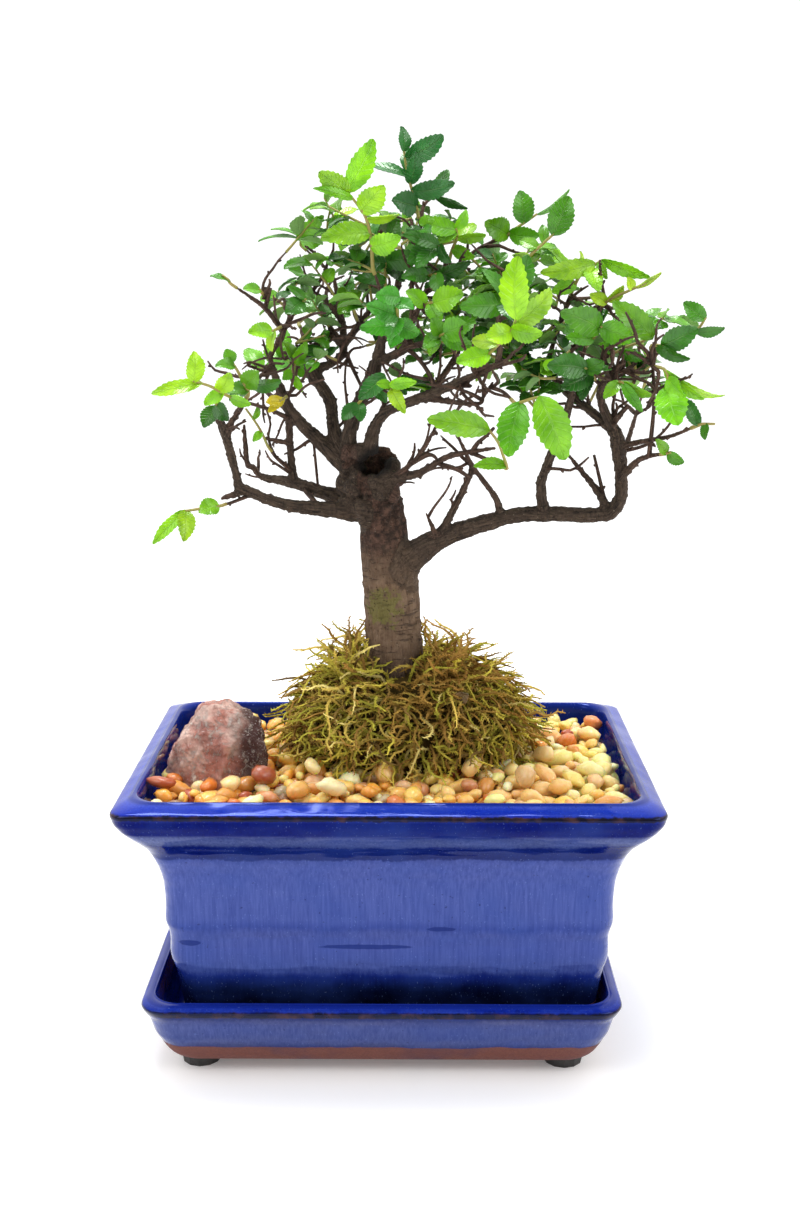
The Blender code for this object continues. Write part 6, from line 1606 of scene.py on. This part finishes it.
wood_colour = bark.mix(near_cut, wood_colour, bark.mix(cracks, (0.016, 0.008, 0.006), (0.115, 0.058, 0.040)))
foot_dark = bark.ramp(height, [(111, 1.0), (124, 0.0)], top=200.0)
wood_colour = bark.mix(bark.sum("MULTIPLY", foot_dark, 0.5), wood_colour, (0.05, 0.032, 0.022))
lichen = bark.sum("DIVIDE", bark.distance(383, 608, 0.0), 17.0)
lichen = bark.sum("ADD", lichen, bark.sum("MULTIPLY", bark.noise(0.45, 5.0, 0.75), 1.3))
lichen = bark.ramp(lichen, [(0.92, 0.8), (1.0, 0.0)])
wood_colour = bark.mix(lichen, wood_colour, (0.165, 0.150, 0.040))
specks = bark.ramp(bark.noise(1.1, 2.0), [(0.66, 0.0), (0.70, 0.8)])
wood_colour = bark.mix(specks, wood_colour, (0.035, 0.022, 0.015))
crumbs = bark.ramp(bark.noise(1.6, 2.0, 0.5, (5, 1, 3)), [(0.70, 0.0), (0.74, 0.6)])
wood_colour = bark.mix(crumbs, wood_colour, (0.34, 0.28, 0.21))
# Painted near black inside the hollow: its rotten wood, and painted shade in the recess.
rot_and_hollow_shade = bark.ramp(bark.distance(376, 463, 6.0), [(5, 0.92), (7, 0.0)], top=10.0)
wood_colour = bark.mix(rot_and_hollow_shade, wood_colour, (0.006, 0.004, 0.003))
bark.put(bark.shader, {"Base Color": wood_colour, "Roughness": 0.85})
grooves = bark.sum("MULTIPLY", bark.ramp(cross_rings, [(0.58, 0.0), (0.66, 1.0)]), 0.5)
relief = bark.sum("SUBTRACT", bark.sum("ADD", fibres, mottle), grooves)
bark.bump(bark.sum("SUBTRACT", relief, bark.sum("MULTIPLY", specks, 0.5)), 0.8)
finish_piece("elm_wood", wood_mesh, [bark.material], ["wood"])
finish_piece("bare_twigs", bare_mesh, [bark.material], [])

# %% [markdown]
# ## Places of the leaves
# Leaves that can be told apart in the front view have their tip there. Others alternate up the stem.
# Each one is then turned or shortened a little until it touches no wood, stem or other leaf.

# %% Leaf places
BLADE = 0.8
LEAF_EDGE = [(0.13, 0.64), (0.41, 1.0), (0.48, 0.8), (0.76, 0.7)]
LEAF_FOLD = 0.28
LEAF_ARCH = 0.07
LEAF_CLEAR = 0.55
NEAR_LEAF = 24.0


def leaf_frame(root, tip, roll):
    """Directions along and across a leaf and out of its face; roll 0 turns the face to the front."""
    ahead = (tip - root).normalized()
    face = EYE - root
    face = (face - ahead * face.dot(ahead)).normalized()
    face = Quaternion(ahead, math.radians(roll)) @ face
    return ahead, face.cross(ahead), face


def leaf_points(root, tip, half_width, roll, thick, swell=1.0):
    """The blade's edge, from its foot round by the tip, and the middles of its two faces."""
    length = (tip - root).length
    ahead, side, face = leaf_frame(root, tip, roll)

    def at(share, out):
        rise = LEAF_ARCH * length * 4 * share * (1 - share) + LEAF_FOLD * half_width * abs(out)
        return root + ahead * (length * share) + side * (half_width * swell * out) + face * rise

    edge = [at(0.0, 0.0)] + [at(a, w) for a, w in LEAF_EDGE] + [at(1.0, 0.0)]
    edge += [at(a - 0.025, -w) for a, w in reversed(LEAF_EDGE)]
    middle = at(0.5, 0.0)
    return edge, middle + face * thick / 2, middle - face * thick / 2


def leaf_tree(edge, top, low):
    """A search tree of one blade, to see what it would touch."""
    count = len(edge)
    faces = [(i, (i + 1) % count, count) for i in range(count)]
    faces += [((i + 1) % count, i, count + 1) for i in range(count)]
    return BVHTree.FromPolygons([*edge, top, low], faces)


def tubes_tree(tubes):
    """A search tree of closed tubes."""
    points = []
    faces = []
    for sides, path, radii in tubes:
        rings = tube_rings(path, [r + 0.2 for r in radii], sides)
        first = len(points)
        points += [p for ring in rings for p in ring]
        for i in range(len(rings) - 1):
            for k in range(sides):
                a = first + i * sides + k
                b = first + i * sides + (k + 1) % sides
                faces.append((a, b, b + sides, a + sides))
        faces.append(tuple(range(first, first + sides)))
        faces.append(tuple(range(len(points) - sides, len(points))))
    return BVHTree.FromPolygons(points, faces)


def plan_leaves(tubes, stems):
    """Leaves for every shoot, each turned or shortened until it clears everything else."""
    pick = random.Random(2)
    placed = []
    leaves = {name: [] for name in stems}
    for round_two in (False, True):
        for name, (_, _, _, chosen, more) in SHOOTS.items():
            _, path, _ = stems[name]
            others = list(tubes.values()) + [stem for key, stem in stems.items() if key != name]
            around = tubes_tree(others)
            if round_two:
                wanted = more_leaves(pick, path, more)
            else:
                wanted = [explicit_leaf(path, leaf) for leaf in chosen]
            for root, tip, half_width, roll in wanted:
                leaf = clear_leaf(root, tip, half_width, roll, around, placed)
                if leaf:
                    leaves[name].append((*leaf, round_two))
                    blade = leaf_tree(*leaf_points(*leaf, BLADE + 2 * LEAF_CLEAR, 1.06))
                    placed.append((leaf[0].lerp(leaf[1], 0.5), blade))
    print("leaves", len(placed), "of", sum(len(s[3]) + s[4] for s in SHOOTS.values()))
    return leaves


def explicit_leaf(path, leaf):
    """The pose of a leaf whose tip is known in the front view."""
    share, across, down, nearer, half_width, roll = leaf
    root, _ = along(path, max(share, 0.12))
    return root, seen(across, down, root.y + nearer), half_width, roll


def more_leaves(pick, path, count):
    """Seeded leaves up the stem, alternating from side to side."""
    found = []
    for k in range(count):
        root, way = along(path, 0.25 + 0.75 * (k + 0.6) / count)
        out = way.orthogonal().normalized()
        out = Quaternion(way, math.pi * k + pick.uniform(-0.7, 0.7)) @ out
        ahead = (out + way * pick.uniform(0.3, 0.9)).normalized()
        length = pick.uniform(9.5, 14.0)
        found.append((root, root + ahead * length, length * pick.uniform(0.25, 0.3), pick.uniform(-50, 50)))
    return found


def clear_leaf(root, tip, half_width, roll, around, placed):
    """The first small change of pose that clears everything, or nothing."""
    changes = [(0, 0, 0, 1.0)]
    for size in (1, 2, 3):
        for lift in (-1, 1, 0):
            for swing in (0, 1, -1):
                for twist in (0, 1, -1):
                    changes.append((lift * size * 9, swing * size * 7, twist * size * 12, 1.0 - 0.05 * size))
    for lift, swing, twist, short in changes:
        _, side, face = leaf_frame(root, tip, roll)
        reach = Quaternion(face, math.radians(swing)) @ (tip - root)
        reach = Quaternion(side, math.radians(lift)) @ reach
        way = reach.normalized()
        foot = root - way * 0.35
        end = root + reach * short
        pose = (foot, end, half_width * short, roll + twist)
        tree = leaf_tree(*leaf_points(*pose, BLADE + 2 * LEAF_CLEAR, 1.06))
        middle = foot.lerp(end, 0.5)
        if tree.overlap(around):
            continue
        near = [other for centre, other in placed if (centre - middle).length < NEAR_LEAF]
        if any(tree.overlap(other) for other in near):
            continue
        return pose
    return None


leaves = plan_leaves(tubes, stems)

# %% [markdown]
# ## A flat leaf to copy
# A leaf is a thin blade, so a grid is extruded once. It keeps flat coordinates, which later place the veins,
# and the underside gets a second material.

# %% Flat leaf
TEETH = 9
LEAF_THICK = 0.22


def flat_leaf(rows, across):
    """A thin closed slab from -1 to 1, with the underside as second material and flat coordinates."""
    bm = bmesh.new()
    bmesh.ops.create_grid(bm, x_segments=rows, y_segments=across, size=1.0)
    tops = bm.faces[:]
    made = bmesh.ops.extrude_face_region(bm, geom=tops, use_keep_orig=True)["geom"]
    lower = [item for item in made if isinstance(item, bmesh.types.BMVert)]
    bmesh.ops.translate(bm, verts=lower, vec=(0, 0, -1.0))
    bmesh.ops.recalc_face_normals(bm, faces=bm.faces[:])
    flat = bm.loops.layers.uv.new("flat")
    for face in bm.faces:
        face.smooth = True
        face.material_index = 1 if face.normal.z < -0.5 else 0
        for loop in face.loops:
            loop[flat].uv = (0.5 + 0.5 * loop.vert.co.x, 0.5 + 0.5 * loop.vert.co.y)
    for edge in bm.edges:
        edge.smooth = edge.calc_face_angle(0.0) < 1.0
    mesh = bpy.data.meshes.new("flat_leaf")
    bm.to_mesh(mesh)
    bm.free()
    return mesh


# %% [markdown]
# ## One leaf
# An elm leaf is a pointed oval, folded a little along its middle, with teeth that lean towards the tip. Every
# leaf is a copy of the flat one with its own length, width, fold, wave, twist and curl. Numpy moves all its
# points at once.

# %% Shaped leaf
def leaf_outline(share, edge, rows):
    """Half width as a share of the greatest, and how far the point slides to the tip, for rows of numbers."""
    oval = np.power(np.sin(np.pi * np.clip(share * 0.955 + 0.03, 0, 1) ** 0.9), 0.74)
    row = np.rint(share * rows).astype(int)
    tooth = np.where(row % 2 == 0, 0.0, 1.0)
    inner = (row > 0) & (row < rows)
    width = np.where(inner, oval * (0.93 + 0.12 * tooth * (edge > 0.9)), 0.05)
    slide = np.where(inner & (edge > 0.9) & (tooth > 0), 0.32 / rows, 0.0)
    return width, slide


def shaped_leaf(flat, rows, pose, thick, pick, swell=1.0):
    """A copy of the flat leaf, bent to its place."""
    foot, tip, half_width, roll = pose
    length = (tip - foot).length
    ahead, side, face = leaf_frame(foot, tip, roll)
    mesh = flat.copy()
    points = np.empty(len(mesh.vertices) * 3)
    mesh.vertices.foreach_get("co", points)
    points = points.reshape(-1, 3)
    share = 0.5 + 0.5 * points[:, 0]
    out = points[:, 1]
    width, slide = leaf_outline(share, np.abs(out), rows)
    share = share + slide
    wave = pick.uniform(0.3, 1.0) * half_width * 0.11
    twist = math.radians(pick.gauss(0, 16))
    phase = pick.uniform(0, 6.28)
    curl = pick.uniform(-0.02, 0.1) * length
    sway = pick.uniform(-0.05, 0.05) * length
    across = half_width * swell * width * out
    arch = 4 * share * (1 - share)
    fold = LEAF_FOLD * half_width * np.abs(out) * np.sqrt(np.clip(width, 0, 1)) * 0.9
    waves = wave * out * out * np.sin(2 * np.pi * 1.7 * share + phase + out)
    rise = LEAF_ARCH * length * arch + fold + waves - curl * share**3
    turned = twist * share
    lifted = rise * np.cos(turned) + across * np.sin(turned) + (points[:, 2] + 0.5) * thick
    across = across * np.cos(turned) - rise * np.sin(turned) + sway * arch
    moved = np.array(foot) + np.outer(share * length, ahead) + np.outer(across, side) + np.outer(lifted, face)
    mesh.vertices.foreach_set("co", moved.reshape(-1))
    return mesh


# %% [markdown]
# ## The leaves' finish
# The upper side is glossy with fine veins, the underside paler and dull. Middle and side veins are drawn from
# the flat coordinates, and each leaf brings its own green.

# %% Leaf finish
def leaf_finish(name, gloss, under):
    """The finish of one side of a leaf."""
    f = Finish(name, **{"Specular IOR Level": 0.25 if under else 0.5, "Specular Tint": (0.85, 1.0, 0.8, 1.0)})
    flat = f.add("ShaderNodeUVMap", "UV", {}, uv_map="flat")
    share = f.along("X", flat)
    out = f.sum("ABSOLUTE", f.sum("SUBTRACT", f.along("Y", flat), 0.5))
    middle_vein = f.ramp(out, [(0.012, 1.0), (0.04, 0.0)])
    slant = f.sum("SUBTRACT", f.sum("MULTIPLY", share, 9.0), f.sum("MULTIPLY", out, 3.2))
    to_vein = f.sum("ABSOLUTE", f.sum("SUBTRACT", f.sum("FRACT", slant), 0.5))
    side_vein = f.ramp(to_vein, [(0.02, 1.0), (0.12, 0.0)])
    veins = f.sum("MAXIMUM", middle_vein, f.sum("MULTIPLY", side_vein, 0.55))
    own = f.attribute("leaf_colour", "Color")
    pale = f.mix(0.4, own, (0.55, 0.75, 0.25))
    colour = f.mix(f.sum("MULTIPLY", veins, 0.5 if under else 0.2), own, pale)
    mottle = f.mix(f.ramp(f.noise(0.22, 3.0), [(0.3, 0.0), (0.7, 1.0)]), (0.55, 0.66, 0.6), (1.2, 1.16, 1.1))
    colour = f.mix(1.0, colour, mottle, "MULTIPLY")
    if under:
        colour = f.mix(0.35, colour, (0.34, 0.46, 0.22))
    f.put(f.shader, {"Base Color": colour, "Roughness": gloss})
    swell = f.sum("ADD", f.sum("MULTIPLY", veins, -1.0), f.sum("MULTIPLY", f.noise(0.9, 2.0), 0.7))
    f.bump(swell, 0.14)
    return f.material


leaf_top = leaf_finish("elm_leaf_upper", 0.23, False)
leaf_under = leaf_finish("elm_leaf_under", 0.6, True)
shoot_skin = Finish("young_stem", Roughness=0.45)
shoot_tone = shoot_skin.mix(shoot_skin.noise((0.3, 0.3, 0.3), 3.0), (0.24, 0.30, 0.04), (0.34, 0.20, 0.07))
shoot_skin.put(shoot_skin.shader, {"Base Color": shoot_tone})
shoot_skin.bump(shoot_skin.noise(2.0, 2.0), 0.1)

# %% [markdown]
# ## Leafy shoots
# Every shoot is one piece: a thin stem with its leaves. The youngest leaves are lime, the grown ones
# deep green and glossy. Each leaf differs a little from its neighbours.

# %% Shoots
LEAF_COLOURS = {
    "lime": [(0.24, 0.56, 0.01), (0.33, 0.6, 0.012), (0.18, 0.48, 0.01)],
    "mid": [(0.11, 0.36, 0.008), (0.16, 0.42, 0.01), (0.075, 0.28, 0.008)],
    "dark": [(0.034, 0.165, 0.01), (0.055, 0.22, 0.01), (0.022, 0.115, 0.012)],
}
OWN_COLOURS = {
    "top": (0.024, 0.15, 0.03), "yellow": (0.62, 0.48, 0.02), "blue_leaf": (0.03, 0.17, 0.02),
    "right_yellow": (0.4, 0.62, 0.02), "gloss": (0.05, 0.28, 0.015),
}
hue = random.Random(53)
whole_leaf = flat_leaf(2 * TEETH, 4)


def stem_mesh(path, radii):
    """A smooth young stem that uses the third material of its piece."""
    stem = loft_mesh("stem", tube_rings(*fine_path(path, radii, 3), 6))
    stem.polygons.foreach_set("material_index", [2] * len(stem.polygons))
    stem.color_attributes.new("leaf_colour", "FLOAT_COLOR", "POINT")
    return stem


def leaf_tint(name, tint):
    """A leaf's green: the shoot's own or a seeded one, a little lighter or darker each time."""
    base = OWN_COLOURS.get(name) or hue.choice(LEAF_COLOURS[tint])
    shade = hue.uniform(0.8, 1.2)
    return [min(1.0, c * shade * hue.uniform(0.93, 1.07)) for c in base]


def roll_to_sky(root, tip):
    """The roll that turns a leaf's face upwards."""
    ahead, _, face = leaf_frame(root, tip, 0.0)
    sky = (Vector((0, 0, 1)) - ahead * ahead.z).normalized()
    return math.degrees(math.atan2(sky.dot(ahead.cross(face)), sky.dot(face)))


leaf_materials = [leaf_top, leaf_under, shoot_skin.material]
leaf_count = 0
for name, (_, path, radii) in stems.items():
    tint = SHOOTS[name][0]
    rooted = [path[0] - (path[1] - path[0]).normalized() * 1.4, *path[1:]]
    pieces = [stem_mesh(rooted, [0.8 * r for r in radii])]
    for foot, tip, half_width, roll, seeded in leaves[name]:
        if seeded:
            to_sky = (roll_to_sky(foot, tip) - roll + 180) % 360 - 180
            roll += 0.6 * to_sky + hue.gauss(0, 15)
            tip = foot.lerp(tip, 0.88)
            half_width *= 0.88
        leaf = shaped_leaf(whole_leaf, 2 * TEETH, (foot, tip, half_width, roll), LEAF_THICK, hue)
        tinted(leaf, "leaf_colour", leaf_tint(name, tint))
        pieces.append(leaf)
        leaf_count += 1
    finish_piece("leafy_" + name, merged("leafy", pieces), leaf_materials, ["shoot_" + name])
print("leaves on shoots", leaf_count)

# %% [markdown]
# ## The rest of the crown
# The crown is fuller than the drawn shoots. Further twigs start from the nearest wood inside seeded ovals of
# the front view and carry small leaves in two rows, as elm twigs do.

# %% Filling the crown
# (across, down, half width, half height, nearest depth, farthest depth, twigs, colour)
FILLERS = [
    (400, 262, 70, 28, -8, 24, 14, "dark"), (350, 245, 42, 34, -4, 22, 7, "mid"),
    (440, 300, 60, 26, -8, 26, 10, "dark"), (520, 305, 50, 30, -8, 14, 13, "mid"),
    (590, 345, 55, 26, -8, 14, 10, "dark"), (480, 345, 70, 24, -8, 24, 17, "dark"),
    (550, 372, 60, 16, -8, 16, 13, "dark"), (410, 325, 45, 25, -8, 20, 8, "mid"),
    (300, 300, 30, 18, 0, 24, 3, "dark"), (325, 340, 30, 20, 4, 26, 4, "mid"),
    (400, 380, 36, 12, -8, 8, 4, "dark"), (610, 385, 40, 14, -8, 6, 4, "dark"),
    (330, 215, 20, 12, 2, 22, 2, "lime"), (438, 232, 30, 14, 2, 22, 4, "dark"),
    (645, 350, 36, 22, -8, 0, 3, "mid"), (470, 300, 90, 40, -8, 20, 12, "lime"),
]
slim = [(path, radii) for key, (path, radii) in fine.items() if key != "trunk"]
anchors = [path[i] for path, radii in slim for i in range(2, len(path)) if radii[i] < 1.9]
anchor_tree = KDTree(len(anchors))
for i, point in enumerate(anchors):
    anchor_tree.insert(point, i)
anchor_tree.balance()


def filler_leaf(pick, pose):
    """A small, flatter leaf whose face turns towards the sky."""
    root, end, half_width, _ = pose
    end = root + (end - root) * pick.uniform(0.5, 0.85)
    end.z = root.z + 0.55 * (end.z - root.z)
    roll = roll_to_sky(root, end) + pick.gauss(0, 28)
    return shaped_leaf(small_leaf, SMALL_ROWS, (root, end, half_width * 0.72, roll), LEAF_THICK, pick)


fill = random.Random(67)
crown = {"lime": [], "mid": [], "dark": []}
SMALL_ROWS = 14
small_leaf = flat_leaf(SMALL_ROWS, 4)
FULLNESS = 1.35
extra = 0
for across, down, wide, high, near, far, twig_count, tint in FILLERS:
    for _ in range(int(FULLNESS * twig_count)):
        spot = seen(
            across + wide * fill.uniform(-1, 1), down + high * fill.uniform(-1, 1), fill.uniform(near, far))
        foot, _, away = anchor_tree.find(spot)
        if away > 24 or away < 3:
            continue
        reach = (spot - foot).normalized()
        tip = foot + reach * max(away, 9.0) + Vector((0, 0, fill.uniform(0, 4)))
        droop = Vector((fill.uniform(-1.5, 1.5), fill.uniform(-1.5, 1.5), fill.uniform(-2.0, 0.5)))
        bend = foot.lerp(tip, 0.5) + droop
        path = [foot, bend, tip]
        crown[tint].append(stem_mesh(path, [0.42, 0.34, 0.2]))
        for pose in more_leaves(fill, path, fill.randint(3, 5)):
            colours = tint if fill.random() < 0.6 else fill.choice(("mid", "lime", "dark"))
            leaf = filler_leaf(fill, pose)
            tinted(leaf, "leaf_colour", leaf_tint("", colours))
            crown[tint].append(leaf)
            extra += 1
for tint, pieces in crown.items():
    finish_piece("crown_leaves_" + tint, merged("crown", pieces), leaf_materials, [])
print("leaves in the rest of the crown", extra)

# %% [markdown]
# ## A fallen leaf
# One withered leaf lies on the moss. It is the same leaf shape with a dry brown colour.

# %% Fallen leaf
fallen = (seen(456, 698, -9), seen(468, 693, -13), 2.2, 25.0)
withered = shaped_leaf(whole_leaf, 2 * TEETH, fallen, LEAF_THICK, fill)
tinted(withered, "leaf_colour", (0.26, 0.17, 0.10))
finish_piece("withered_leaf", withered, [leaf_top, leaf_under], [])
